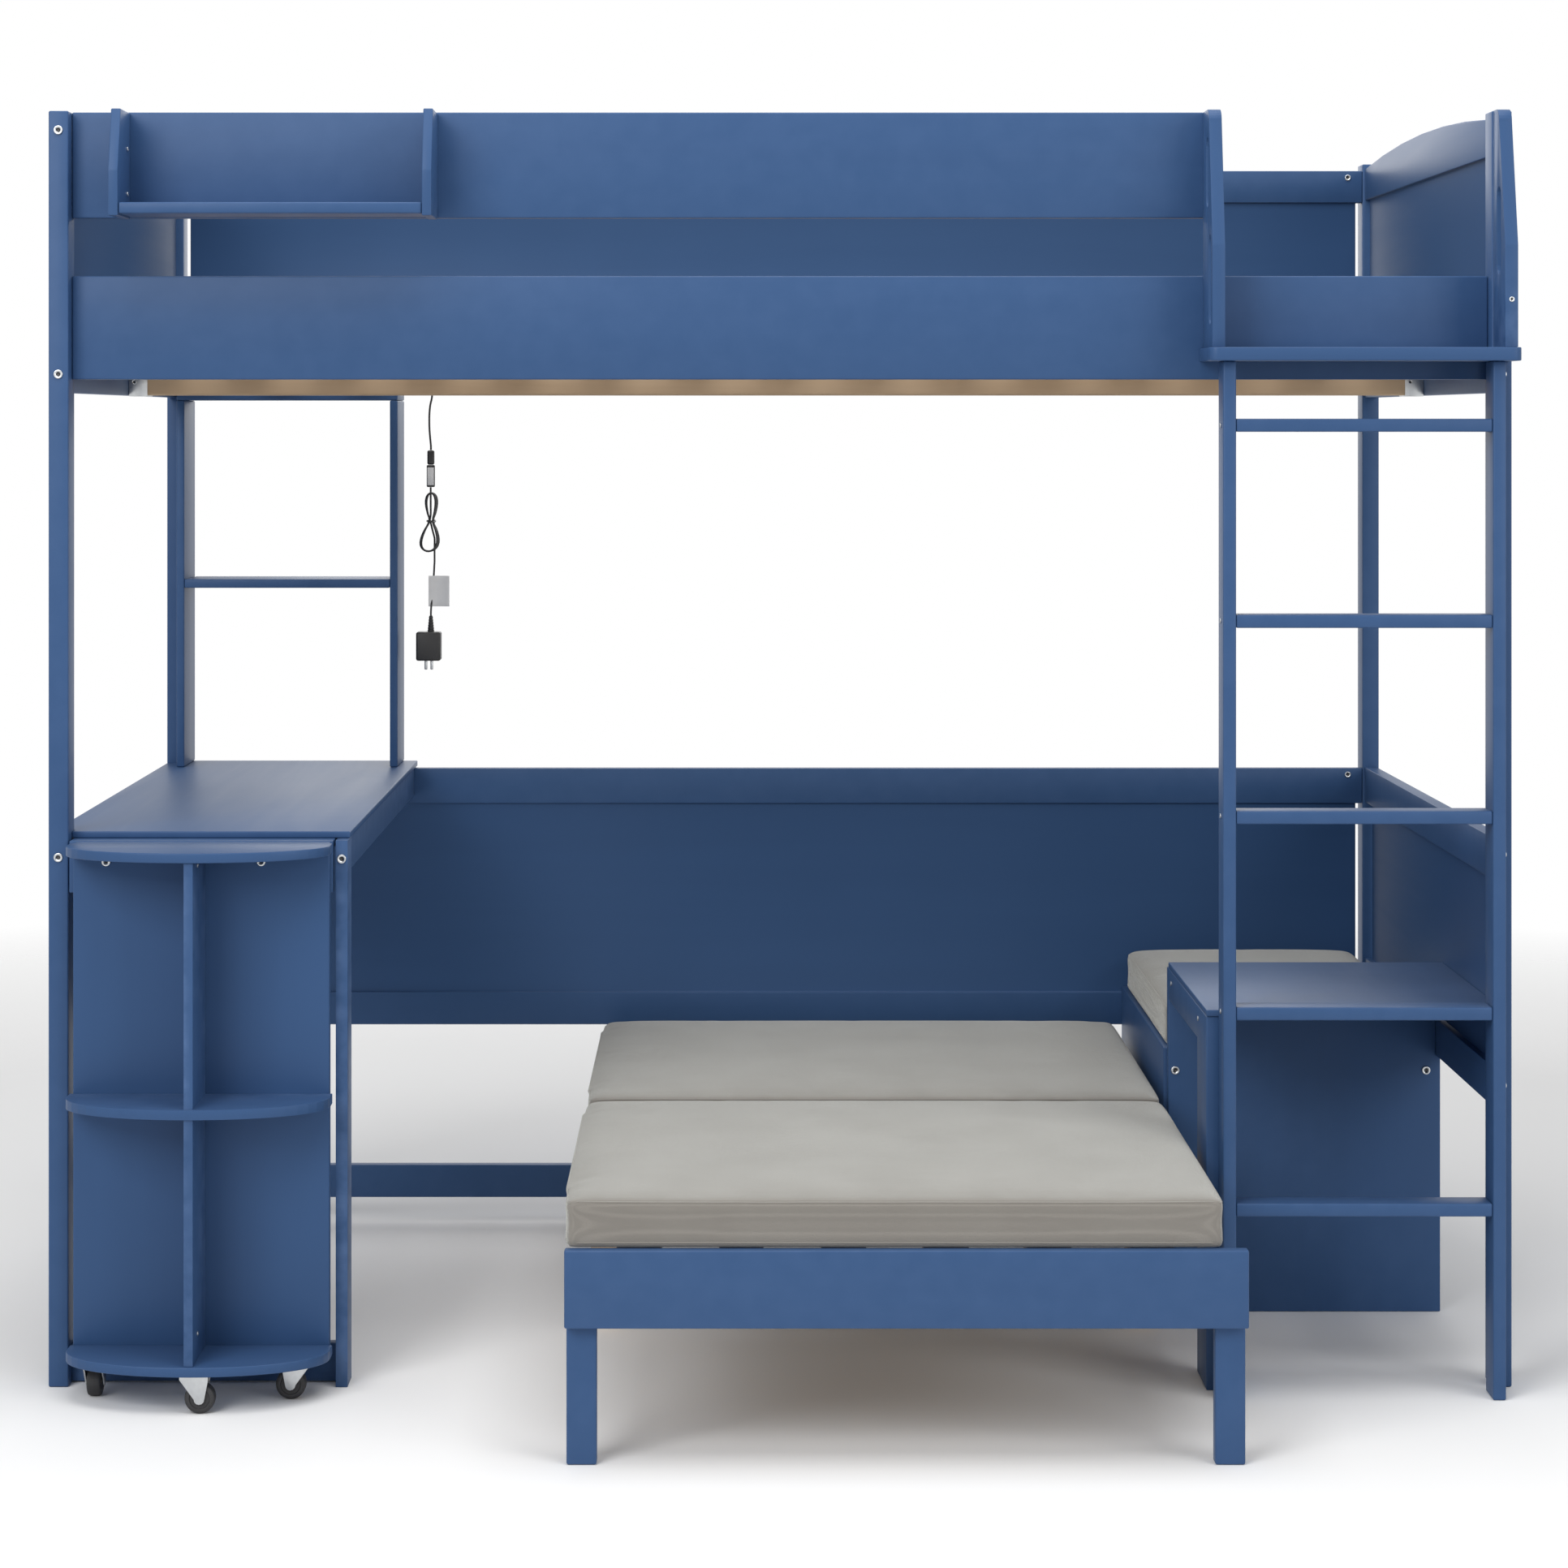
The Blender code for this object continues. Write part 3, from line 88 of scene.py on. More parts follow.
class Slot(Enum):
    """The record's material slots."""

    PAINT = "blue_paint"
    PINE = "pine"
    VELVET = "velvet"
    ZINC = "zinc"
    RUBBER = "black_rubber"
    PLASTIC = "black_plastic"


# Shader building

class ShaderTree:
    """A small wrapper round a node tree, so that materials read as a list of steps."""

    def __init__(self, tree: bpy.types.NodeTree) -> None:
        """Keeps the tree and clears nothing.

        Args:
            tree: the node tree to build in.
        """
        self.tree = tree

    def add(
        self, kind: str, settings: dict | None = None, values: dict | None = None
    ) -> bpy.types.Node:
        """Adds a node with its settings and the plain values of its inputs.

        Args:
            kind: the node's type name.
            settings: attributes to set on the node.
            values: input values by name or number.

        Returns:
            The new node.
        """
        node = self.tree.nodes.new(kind)
        for name, value in (settings or {}).items():
            setattr(node, name, value)
        for name, value in (values or {}).items():
            node.inputs[name].default_value = value
        return node

    def link(self, source: bpy.types.NodeSocket, target: bpy.types.NodeSocket) -> None:
        """Joins an output to an input."""
        self.tree.links.new(source, target)

    def mix(self, factor: object, first: object, second: object) -> bpy.types.NodeSocket:
        """Mixes two colours, each given as a socket or four numbers.

        Args:
            factor: the mix's factor, as a socket or a number.
            first: the colour at factor 0.
            second: the colour at factor 1.

        Returns:
            The mixed colour's socket.
        """
        node = self.add("ShaderNodeMix", {"data_type": "RGBA"})
        for place, value in ((0, factor), (6, first), (7, second)):
            if isinstance(value, bpy.types.NodeSocket):
                self.link(value, node.inputs[place])
            else:
                node.inputs[place].default_value = value
        return node.outputs[2]

    def spread(self, value: bpy.types.NodeSocket, low: float, high: float) -> bpy.types.NodeSocket:
        """Maps a value of 0 to 1 onto a range.

        Args:
            value: the socket that varies.
            low: the result at 0.
            high: the result at 1.

        Returns:
            The mapped value's socket.
        """
        node = self.add("ShaderNodeMapRange", None, {"To Min": low, "To Max": high})
        self.link(value, node.inputs["Value"])
        return node.outputs["Result"]


def new_group(
    name: str, inputs: Iterable[tuple[str, str, float]], outputs: Iterable[str]
) -> ShaderTree:
    """Starts a shader node group with named sockets.

    Args:
        name: the group's name.
        inputs: name, socket type and default value of each input.
        outputs: the names of its float outputs.

    Returns:
        The group's tree, with its input and output nodes added.
    """
    tree = bpy.data.node_groups.new(name, "ShaderNodeTree")
    for title, kind, value in inputs:
        socket = tree.interface.new_socket(title, in_out="INPUT", socket_type=kind)
        if kind == "NodeSocketFloat":
            socket.default_value = value
    for title in outputs:
        tree.interface.new_socket(title, in_out="OUTPUT", socket_type="NodeSocketFloat")
    made = ShaderTree(tree)
    made.add("NodeGroupInput", {"name": "In"})
    made.add("NodeGroupOutput", {"name": "Out"})
    return made


class EffectGroups:
    """The node groups that several materials share, each built once."""

    def __init__(self) -> None:
        """Builds every group."""
        self.grain = self._grain()
        self.wear_and_edge_light = self._wear_and_edge_light()
        # Dust on the wood and hard finishes; on the velvet the same mask is painted top light
        self.dust = self._dust_and_top_light()
        self.weave = self._weave()

    @staticmethod
    def _grain() -> bpy.types.NodeTree:
        """Wood grain: broad figure and fine fibres along one stretched direction.

        Returns:
            The group's node tree.
        """
        inputs = [
            ("Vector", "NodeSocketVector", 0),
            ("Figure", "NodeSocketFloat", 6),
            ("Fibre", "NodeSocketFloat", 90),
        ]
        made = new_group("Wood grain", inputs, ["Tone", "Height"])
        nodes = made.tree.nodes
        waves = {"Detail": 5.0, "Roughness": 0.55, "Distortion": 0.6}
        figure = made.add("ShaderNodeTexNoise", None, waves)
        fibre = made.add("ShaderNodeTexNoise", None, {"Detail": 3.0, "Roughness": 0.65})
        for node, name in ((figure, "Figure"), (fibre, "Fibre")):
            made.link(nodes["In"].outputs["Vector"], node.inputs["Vector"])
            made.link(nodes["In"].outputs[name], node.inputs["Scale"])
        both = made.add("ShaderNodeMath", {"operation": "ADD"})
        half = made.add("ShaderNodeMath", {"operation": "MULTIPLY"}, {1: 0.5})
        made.link(figure.outputs[0], both.inputs[0])
        made.link(fibre.outputs[0], both.inputs[1])
        made.link(both.outputs[0], half.inputs[0])
        made.link(half.outputs[0], nodes["Out"].inputs["Height"])
        made.link(made.spread(figure.outputs[0], 0.0, 1.0), nodes["Out"].inputs["Tone"])
        return made.tree

    @staticmethod
    def _wear_and_edge_light() -> bpy.types.NodeTree:
        """Wear along the edges, broken up by noise, which also serves as a painted highlight on the edges.

        Returns:
            The group's node tree.
        """
        made = new_group("Edge wear and painted edge light", [("Scale", "NodeSocketFloat", 30)], ["Mask"])
        nodes = made.tree.nodes
        shape = made.add("ShaderNodeNewGeometry")
        noise = made.add("ShaderNodeTexNoise", None, {"Detail": 4.0})
        place = made.add("ShaderNodeTexCoord")
        made.link(place.outputs["Object"], noise.inputs["Vector"])
        made.link(nodes["In"].outputs["Scale"], noise.inputs["Scale"])
        edge = made.add("ShaderNodeMapRange", None, {"From Min": 0.535, "From Max": 0.64})
        broken = made.add("ShaderNodeMapRange", None, {"From Min": 0.35, "From Max": 0.70})
        mask = made.add("ShaderNodeMath", {"operation": "MULTIPLY"})
        made.link(shape.outputs["Pointiness"], edge.inputs["Value"])
        made.link(noise.outputs[0], broken.inputs["Value"])
        made.link(edge.outputs["Result"], mask.inputs[0])
        made.link(broken.outputs["Result"], mask.inputs[1])
        made.link(mask.outputs[0], nodes["Out"].inputs["Mask"])
        return made.tree

    @staticmethod
    def _dust_and_top_light() -> bpy.types.NodeTree:
        """Faint dust on faces that look up, and on the velvet painted light on its top faces.

        Returns:
            The group's node tree.
        """
        made = new_group("Dust and top light", [("Amount", "NodeSocketFloat", 0.2)], ["Mask"])
        nodes = made.tree.nodes
        shape = made.add("ShaderNodeNewGeometry")
        parts = made.add("ShaderNodeSeparateXYZ")
        noise = made.add("ShaderNodeTexNoise", None, {"Scale": 9.0, "Detail": 5.0})
        place = made.add("ShaderNodeTexCoord")
        up = made.add("ShaderNodeMapRange", None, {"From Min": 0.6, "From Max": 1.0})
        first = made.add("ShaderNodeMath", {"operation": "MULTIPLY"})
        second = made.add("ShaderNodeMath", {"operation": "MULTIPLY"})
        made.link(shape.outputs["Normal"], parts.inputs[0])
        made.link(parts.outputs["Z"], up.inputs["Value"])
        made.link(place.outputs["Object"], noise.inputs["Vector"])
        made.link(up.outputs["Result"], first.inputs[0])
        made.link(noise.outputs[0], first.inputs[1])
        made.link(first.outputs[0], second.inputs[0])
        made.link(nodes["In"].outputs["Amount"], second.inputs[1])
        made.link(second.outputs[0], nodes["Out"].inputs["Mask"])
        return made.tree

    @staticmethod
    def _weave() -> bpy.types.NodeTree:
        """A fine pile over crossed threads, with brushed patches.

        Returns:
            The group's node tree.
        """
        made = new_group("Weave", [("Threads", "NodeSocketFloat", 500)], ["Height", "Patch"])
        nodes = made.tree.nodes
        place = made.add("ShaderNodeTexCoord")
        pile = made.add("ShaderNodeTexNoise", None, {"Detail": 2.0, "Roughness": 0.7})
        patch = made.add("ShaderNodeTexNoise", None, {"Scale": 4.5, "Detail": 4.0, "Distortion": 1.2})
        threads = []
        for direction in ("X", "Y"):
            wave = made.add("ShaderNodeTexWave", {"bands_direction": direction})
            made.link(place.outputs["Object"], wave.inputs["Vector"])
            made.link(nodes["In"].outputs["Threads"], wave.inputs["Scale"])
            threads.append(wave.outputs["Fac"])
        for node in (pile, patch):
            made.link(place.outputs["Object"], node.inputs["Vector"])
        made.link(nodes["In"].outputs["Threads"], pile.inputs["Scale"])
        crossed = made.add("ShaderNodeMath", {"operation": "MULTIPLY"})
        total = made.add("ShaderNodeMath", {"operation": "ADD"})
        made.link(threads[0], crossed.inputs[0])
        made.link(threads[1], crossed.inputs[1])
        made.link(crossed.outputs[0], total.inputs[0])
        made.link(pile.outputs[0], total.inputs[1])
        made.link(total.outputs[0], nodes["Out"].inputs["Height"])
        made.link(made.spread(patch.outputs[0], 0.0, 1.0), nodes["Out"].inputs["Patch"])
        return made.tree


def start_material(name: str) -> tuple[bpy.types.Material, ShaderTree, bpy.types.Node]:
    """A new material with its tree and its Principled shader.

    Args:
        name: the material's name.

    Returns:
        The material, its tree and its Principled BSDF node.
    """
    made = bpy.data.materials.new(name)
    made.use_nodes = True
    return made, ShaderTree(made.node_tree), made.node_tree.nodes["Principled BSDF"]


def add_group(tree: ShaderTree, group: bpy.types.NodeTree, values: dict) -> bpy.types.Node:
    """Places a shared node group in a material with its own values."""
    return tree.add("ShaderNodeGroup", {"node_tree": group}, values)


def bump(
    tree: ShaderTree, height: bpy.types.NodeSocket, shader: bpy.types.Node, strength: float, depth: float
) -> None:
    """Sets a shader's normal from a height.

    Args:
        tree: the material's tree.
        height: the height's socket.
        shader: the shader that takes the normal.
        strength: the bump's strength.
        depth: the bump's distance in metres.
    """
    node = tree.add("ShaderNodeBump", None, {"Strength": strength, "Distance": depth})
    tree.link(height, node.inputs["Height"])
    tree.link(node.outputs["Normal"], shader.inputs["Normal"])


@dataclass(frozen=True)
class WoodFinish:
    """Painted or bare wood whose grain runs along one axis."""

    name: str
    colour: Rgb
    deep: Rgb
    # Lighter colour on the edges: partly wear, partly a painted highlight where light catches the edges
    worn_and_lit_edge: Rgb
    roughness: tuple[float, float]
    bump_strength: float
    wear_and_edge_light: float
    coat: float
    stretch: float = 14.0
    figure: float = 1.6
    fibre: float = 26.0
    wear_and_edge_light_scale: float = 34.0
    grain_depth: float = 0.0006
    dust: float = 0.03
    dust_colour: Rgb = (0.55, 0.55, 0.55)
    coat_roughness: float = 0.35
    specular: float = 0.18

    def build(self, groups: EffectGroups, along: Axis) -> bpy.types.Material:
        """Builds the finish for one grain direction.

        Args:
            groups: the shared effects.
            along: the axis that the grain follows.

        Returns:
            The material.
        """
        made, tree, shader = start_material(f"{self.name} {along.name}")
        place = tree.add("ShaderNodeTexCoord")
        scale = [self.stretch] * 3
        scale[along.value] = 1.0
        mapping = tree.add("ShaderNodeMapping", None, {"Scale": scale})
        grain = add_group(tree, groups.grain, {"Figure": self.figure, "Fibre": self.fibre})
        wear_and_edge_light = add_group(tree, groups.wear_and_edge_light, {"Scale": self.wear_and_edge_light_scale})
        dust = add_group(tree, groups.dust, {"Amount": self.dust})
        tree.link(place.outputs["Object"], mapping.inputs["Vector"])
        tree.link(mapping.outputs["Vector"], grain.inputs["Vector"])
        toned = tree.mix(grain.outputs["Tone"], (*self.deep, 1), (*self.colour, 1))
        # Edges mixed towards the lighter colour: wear and a painted edge highlight
        wear_and_edge_light_amount = tree.spread(wear_and_edge_light.outputs["Mask"], 0.0, self.wear_and_edge_light)
        edged = tree.mix(wear_and_edge_light_amount, toned, (*self.worn_and_lit_edge, 1))
        dusty = tree.mix(dust.outputs["Mask"], edged, (*self.dust_colour, 1))
        tree.link(dusty, shader.inputs["Base Color"])
        tree.link(tree.spread(grain.outputs["Tone"], *self.roughness), shader.inputs["Roughness"])
        bump(tree, grain.outputs["Height"], shader, self.bump_strength, self.grain_depth)
        shader.inputs["Coat Weight"].default_value = self.coat
        shader.inputs["Coat Roughness"].default_value = self.coat_roughness
        shader.inputs["Specular IOR Level"].default_value = self.specular
        return made


@dataclass(frozen=True)
class VelvetFinish:
    """Short-pile velvet with brushed patches, a soft sheen and painted light on its top faces."""

    name: str
    colour: Rgb
    brushed: Rgb
    sheen: float = 1.0
    sheen_roughness: float = 0.35
    sheen_tint: Rgb = (0.90, 0.92, 0.88)
    # Painted light: faces that look up are mixed towards a lighter colour, as if lit from above
    painted_top_light: float = 0.55
    painted_top_light_colour: Rgb = (0.52, 0.51, 0.48)
    threads: float = 420.0
    roughness: tuple[float, float] = (0.80, 0.96)
    bump_strength: float = 0.45
    pile_depth: float = 0.0010

    def build(self, groups: EffectGroups) -> bpy.types.Material:
        """Builds the fabric.

        Args:
            groups: the shared effects.

        Returns:
            The material.
        """
        made, tree, shader = start_material(self.name)
        weave = add_group(tree, groups.weave, {"Threads": self.threads})
        # Painted light on the top faces, from the shared up-facing mask
        painted_top_light = add_group(tree, groups.dust, {"Amount": self.painted_top_light})
        toned = tree.mix(weave.outputs["Patch"], (*self.colour, 1), (*self.brushed, 1))
        lit = tree.mix(painted_top_light.outputs["Mask"], toned, (*self.painted_top_light_colour, 1))
        tree.link(lit, shader.inputs["Base Color"])
        tree.link(tree.spread(weave.outputs["Patch"], *self.roughness), shader.inputs["Roughness"])
        bump(tree, weave.outputs["Height"], shader, self.bump_strength, self.pile_depth)
        shader.inputs["Sheen Weight"].default_value = self.sheen
        shader.inputs["Sheen Roughness"].default_value = self.sheen_roughness
        shader.inputs["Sheen Tint"].default_value = (*self.sheen_tint, 1)
        return made


@dataclass(frozen=True)
class HardFinish:
    """Metal, plastic, rubber or card: one colour with fine mottling and dust."""

    name: str
    colour: Rgb
    second: Rgb
    roughness: tuple[float, float]
    metallic: float = 0.0
    scale: float = 120.0
    bump_strength: float = 0.10
    bump_depth: float = 0.0004
    dust: float = 0.12
    dust_colour: Rgb = (0.5, 0.5, 0.5)

    def build(self, groups: EffectGroups) -> bpy.types.Material:
        """Builds the finish.

        Args:
            groups: the shared effects.

        Returns:
            The material.
        """
        made, tree, shader = start_material(self.name)
        place = tree.add("ShaderNodeTexCoord")
        noise = tree.add("ShaderNodeTexNoise", None, {"Scale": self.scale, "Detail": 4.0})
        dust = add_group(tree, groups.dust, {"Amount": self.dust})
        tree.link(place.outputs["Object"], noise.inputs["Vector"])
        toned = tree.mix(noise.outputs[0], (*self.colour, 1), (*self.second, 1))
        dusty = tree.mix(dust.outputs["Mask"], toned, (*self.dust_colour, 1))
        tree.link(dusty, shader.inputs["Base Color"])
        tree.link(tree.spread(noise.outputs[0], *self.roughness), shader.inputs["Roughness"])
        bump(tree, noise.outputs[0], shader, self.bump_strength, self.bump_depth)
        shader.inputs["Metallic"].default_value = self.metallic
        return made


BLUE_PAINT = WoodFinish(
    name="Blue paint",
    colour=(0.038, 0.089, 0.206),
    deep=(0.034, 0.080, 0.188),
    # A lighter blue on the edges, partly wear and partly painted highlight
    worn_and_lit_edge=(0.120, 0.200, 0.380),
    roughness=(0.36, 0.46),
    bump_strength=0.10,
    wear_and_edge_light=0.40,
    coat=0.02,
)
BARE_PINE = WoodFinish(
    name="Bare pine",
    colour=(0.620, 0.470, 0.320),
    deep=(0.430, 0.300, 0.185),
    worn_and_lit_edge=(0.700, 0.560, 0.400),
    roughness=(0.50, 0.66),
    bump_strength=0.25,
    wear_and_edge_light=0.10,
    coat=0.0,
)
GREY_VELVET = VelvetFinish(
    name="Grey velvet",
    colour=(0.215, 0.198, 0.176),
    brushed=(0.262, 0.247, 0.222),
)
ZINC = HardFinish(
    name="Zinc",
    colour=(0.600, 0.620, 0.630),
    second=(0.480, 0.490, 0.500),
    roughness=(0.22, 0.40),
    metallic=1.0,
    scale=160.0,
    bump_strength=0.06,
)
BLACK_RUBBER = HardFinish(
    name="Black rubber",
    colour=(0.018, 0.018, 0.020),
    second=(0.032, 0.032, 0.034),
    roughness=(0.50, 0.70),
)
BLACK_PLASTIC = HardFinish(
    name="Black plastic",
    colour=(0.012, 0.012, 0.013),
    second=(0.024, 0.024, 0.026),
    roughness=(0.32, 0.50),
    scale=420.0,
)
BLANK_CARD = HardFinish(
    name="Blank card",
    colour=(0.760, 0.770, 0.780),
    second=(0.690, 0.700, 0.710),
    roughness=(0.45, 0.60),
    scale=60.0,
    bump_strength=0.05,
)
SOCKET_DARK = HardFinish(
    name="Socket shade",
    colour=(0.045, 0.045, 0.048),
    second=(0.080, 0.080, 0.084),
    roughness=(0.40, 0.60),
    metallic=0.6,
)


class Palette:
    """Every material of the bed, built once."""

    def __init__(self) -> None:
        """Builds the shared effects and then each finish."""
        groups = EffectGroups()
        self.paint = {axis: BLUE_PAINT.build(groups, axis) for axis in Axis}
        self.pine = {axis: BARE_PINE.build(groups, axis) for axis in Axis}
        self.velvet = GREY_VELVET.build(groups)
        self.zinc = ZINC.build(groups)
        self.rubber = BLACK_RUBBER.build(groups)
        self.plastic = BLACK_PLASTIC.build(groups)
        self.card = BLANK_CARD.build(groups)
        self.dark = SOCKET_DARK.build(groups)


# Modelling

# How far a face's normal points along an axis, to count as facing it or as square to it
FACING = 0.9
FLAT = 0.99

# Angles between faces, in degrees: below the first they are one, and above the others an edge is sharp
SAME_FACE = 1
SHARP_EDGE = 40
SHARP_RIM = 60

# The distance in metres below which two corners are one
SAME_CORNER = 0.00002


def only(obj: bpy.types.Object) -> bpy.types.Object:
    """Selects one object alone and makes it active.

    Args:
        obj: the object.

    Returns:
        The same object.
    """
    bpy.ops.object.select_all(action="DESELECT")
    obj.select_set(True)
    bpy.context.view_layer.objects.active = obj
    return obj


def apply_place(obj: bpy.types.Object) -> bpy.types.Object:
    """Moves an object's place, turn and scale into its mesh.

    Args:
        obj: the object.

    Returns:
        The same object.
    """
    only(obj)
    bpy.ops.object.transform_apply(location=True, rotation=True, scale=True)
    return obj


def smooth(obj: bpy.types.Object, angle: float = 35.0) -> bpy.types.Object:
    """Shades an object smooth.

    Args:
        obj: the object.
        angle: the angle in degrees past which an edge stays sharp.

    Returns:
        The same object.
    """
    only(obj)
    bpy.ops.object.shade_smooth_by_angle(angle=radians(angle))
    return obj


def box_block(name: str, low: Point, high: Point, edge: float, segments: int = 3) -> bpy.types.Object:
    """A board with rounded edges, from its lowest to its highest corner.

    Args:
        name: the piece's name.
        low: the lowest corner.
        high: the highest corner.
        edge: the edges' radius.
        segments: the rounding's steps.

    Returns:
        The finished object, at the origin.
    """
    low, high = Vector(low), Vector(high)
    bpy.ops.object.select_all(action="DESELECT")
    bpy.ops.mesh.primitive_cube_add(size=1, location=(low + high) / 2)
    obj = bpy.context.active_object
    obj.name = name
    obj.scale = high - low
    apply_place(obj)
    bpy.ops.object.mode_set(mode="EDIT")
    bpy.ops.mesh.select_all(action="SELECT")
    bpy.ops.mesh.bevel(offset=edge, segments=segments, profile=0.5, clamp_overlap=True)
    bpy.ops.object.mode_set(mode="OBJECT")
    return smooth(obj)


def round_block(
    name: str, place: Point, radius: float, depth: float, axis: Axis, edge: float, sides: int = 32
) -> bpy.types.Object:
    """A short cylinder along an axis with rounded rims.

    Args:
        name: the piece's name.
        place: its centre.
        radius: its radius.
        depth: its length along the axis.
        axis: the axis that it lies along.
        edge: the rims' radius.
        sides: the number of its sides.

    Returns:
        The finished object, at the origin.
    """
    turns = {Axis.X: (0, pi / 2, 0), Axis.Y: (pi / 2, 0, 0), Axis.Z: (0, 0, 0)}
    bpy.ops.object.select_all(action="DESELECT")
    bpy.ops.mesh.primitive_cylinder_add(
        vertices=sides, radius=radius, depth=depth, location=place, rotation=turns[axis]
    )
    obj = apply_place(bpy.context.active_object)
    obj.name = name
    bpy.ops.object.mode_set(mode="EDIT")
    bpy.ops.mesh.select_all(action="DESELECT")
    bpy.ops.mesh.edges_select_sharp(sharpness=radians(SHARP_RIM))
    bpy.ops.mesh.bevel(offset=edge, segments=3, profile=0.5)
    bpy.ops.object.mode_set(mode="OBJECT")
    return smooth(obj)


def select_faces(obj: bpy.types.Object, test: Callable[[bpy.types.MeshPolygon], bool]) -> None:
    """Selects the faces that pass a test, and leaves the object in edit mode.

    Args:
        obj: the object.
        test: says whether a face is chosen.
    """
    only(obj)
    bpy.ops.object.mode_set(mode="EDIT")
    bpy.ops.mesh.select_mode(type="FACE")
    bpy.ops.mesh.select_all(action="DESELECT")
    bpy.ops.object.mode_set(mode="OBJECT")
    for face in obj.data.polygons:
        face.select = test(face)
    bpy.ops.object.mode_set(mode="EDIT")


def node_copy(node: str, edge: float, segments: int = 3) -> bpy.types.Object:
    """A copy of a CAD node with merged corners and rounded edges.

    Args:
        node: the CAD node's name.
        edge: the edges' radius.
        segments: the rounding's steps.

    Returns:
        The new object, at the origin.
    """
    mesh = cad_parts[node].data.copy()
    mesh.materials.clear()
    obj = bpy.data.objects.new(f"{node}_board", mesh)
    bpy.context.scene.collection.objects.link(obj)
    only(obj)
    bpy.ops.object.mode_set(mode="EDIT")
    bpy.ops.mesh.select_all(action="SELECT")
    bpy.ops.mesh.remove_doubles(threshold=SAME_CORNER)
    bpy.ops.mesh.dissolve_limited(angle_limit=radians(SAME_FACE))
    bpy.ops.mesh.select_all(action="DESELECT")
    bpy.ops.mesh.edges_select_sharp(sharpness=radians(SHARP_EDGE))
    bpy.ops.mesh.bevel(offset=edge, segments=segments, profile=0.5, clamp_overlap=True)
    bpy.ops.object.mode_set(mode="OBJECT")
    return smooth(obj)


def dress(
    obj: bpy.types.Object, material: bpy.types.Material, slot: Slot, *replaced: str, body: Body = Body.FRAME
) -> bpy.types.Object:
    """Gives a piece its material and its body, and hides the CAD nodes that it stands for.

    Args:
        obj: the finished piece.
        material: its material.
        slot: not used.
        replaced: the CAD nodes that it stands for.
        body: the CAD body that it rides on.

    Returns:
        The piece.
    """
    obj.data.materials.clear()
    obj.data.materials.append(material)
    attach(obj, body.value)
    if replaced:
        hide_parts(*replaced)
    return obj


def longest(node: str) -> Axis:
    """The axis along which a node is longest.

    Args:
        node: the CAD node's name.

    Returns:
        The axis.
    """
    low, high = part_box(node)
    size = high - low
    return max(Axis, key=lambda axis: size[axis.value])


def tube(
    name: str, points: Sequence[Point], radius: float, closed: bool = False, sides: int = 4
) -> bpy.types.Object:
    """A round tube along points, as a curve of one spline.

    Args:
        name: the piece's name.
        points: the points of its centre line.
        radius: its radius.
        closed: whether its ends meet.
        sides: its bevel resolution.

    Returns:
        The curve object.
    """
    curve = bpy.data.curves.new(name, "CURVE")
    curve.dimensions = "3D"
    curve.bevel_depth = radius
    curve.bevel_resolution = sides
    curve.use_fill_caps = not closed
    spline = curve.splines.new("POLY")
    spline.points.add(len(points) - 1)
    for point, place in zip(spline.points, points):
        point.co = (*place, 1)
    spline.use_cyclic_u = closed
    spline.use_smooth = True
    obj = bpy.data.objects.new(name, curve)
    bpy.context.scene.collection.objects.link(obj)
    return obj


def rounded_route(points: Sequence[Point], steps: int) -> list[Vector]:
    """Points of a smooth curve through a route's points.

    Args:
        points: the route's points.
        steps: the new points for each stretch.

    Returns:
        The finer points.
    """
    route = [Vector(p) for p in points]
    ends = [2 * route[0] - route[1], *route, 2 * route[-1] - route[-2]]
    fine = []
    for a, b, c, d in zip(ends, ends[1:], ends[2:], ends[3:]):
        for step in range(steps):
            t = step / steps
            square = (2 * a - 5 * b + 4 * c - d) * t * t
            cube = (3 * b - a - 3 * c + d) * t ** 3
            fine.append(0.5 * (2 * b + (c - a) * t + square + cube))
    fine.append(route[-1])
    return fine


# Sub-assemblies

@dataclass
class Boards:
    """Painted boards, one for each simple node of the fixed frame."""

    palette: Palette
    edge: float = 0.0022
    thin_edge: float = 0.0015
    straight: tuple[str, ...] = (
        "front_left_post", "front_right_post", "rear_left_post", "rear_right_post", "guard_rail",
        "front_side_rail", "ladder_left_rail", "ladder_right_rail", "rung_1", "rung_2", "rung_3", "rung_4",
        "rung_5", "guard_shelf_board", "desk_left_apron", "hutch_left_upright", "hutch_right_upright",
        "hutch_shelf", "hutch_top", "floor_stretcher",
    )
    shaped: tuple[str, ...] = (
        "rear_guard", "left_end", "right_end", "ladder_platform", "left_handrail", "right_handrail",
        "guard_shelf_left_side", "guard_shelf_right_side", "desktop", "desk_leg", "lower_back", "lower_end",
        "bench_end_panel", "bench_seat", "table_top", "table_side",
    )

    def build(self) -> None:
        """Builds and dresses every board."""
        for node in self.straight:
            low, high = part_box(node)
            board = box_block(f"{node}_board", low, high, self.edge)
            dress(board, self.palette.paint[longest(node)], Slot.PAINT, node)
        for node in self.shaped:
            board = node_copy(node, self.thin_edge)
            dress(board, self.palette.paint[longest(node)], Slot.PAINT, node)


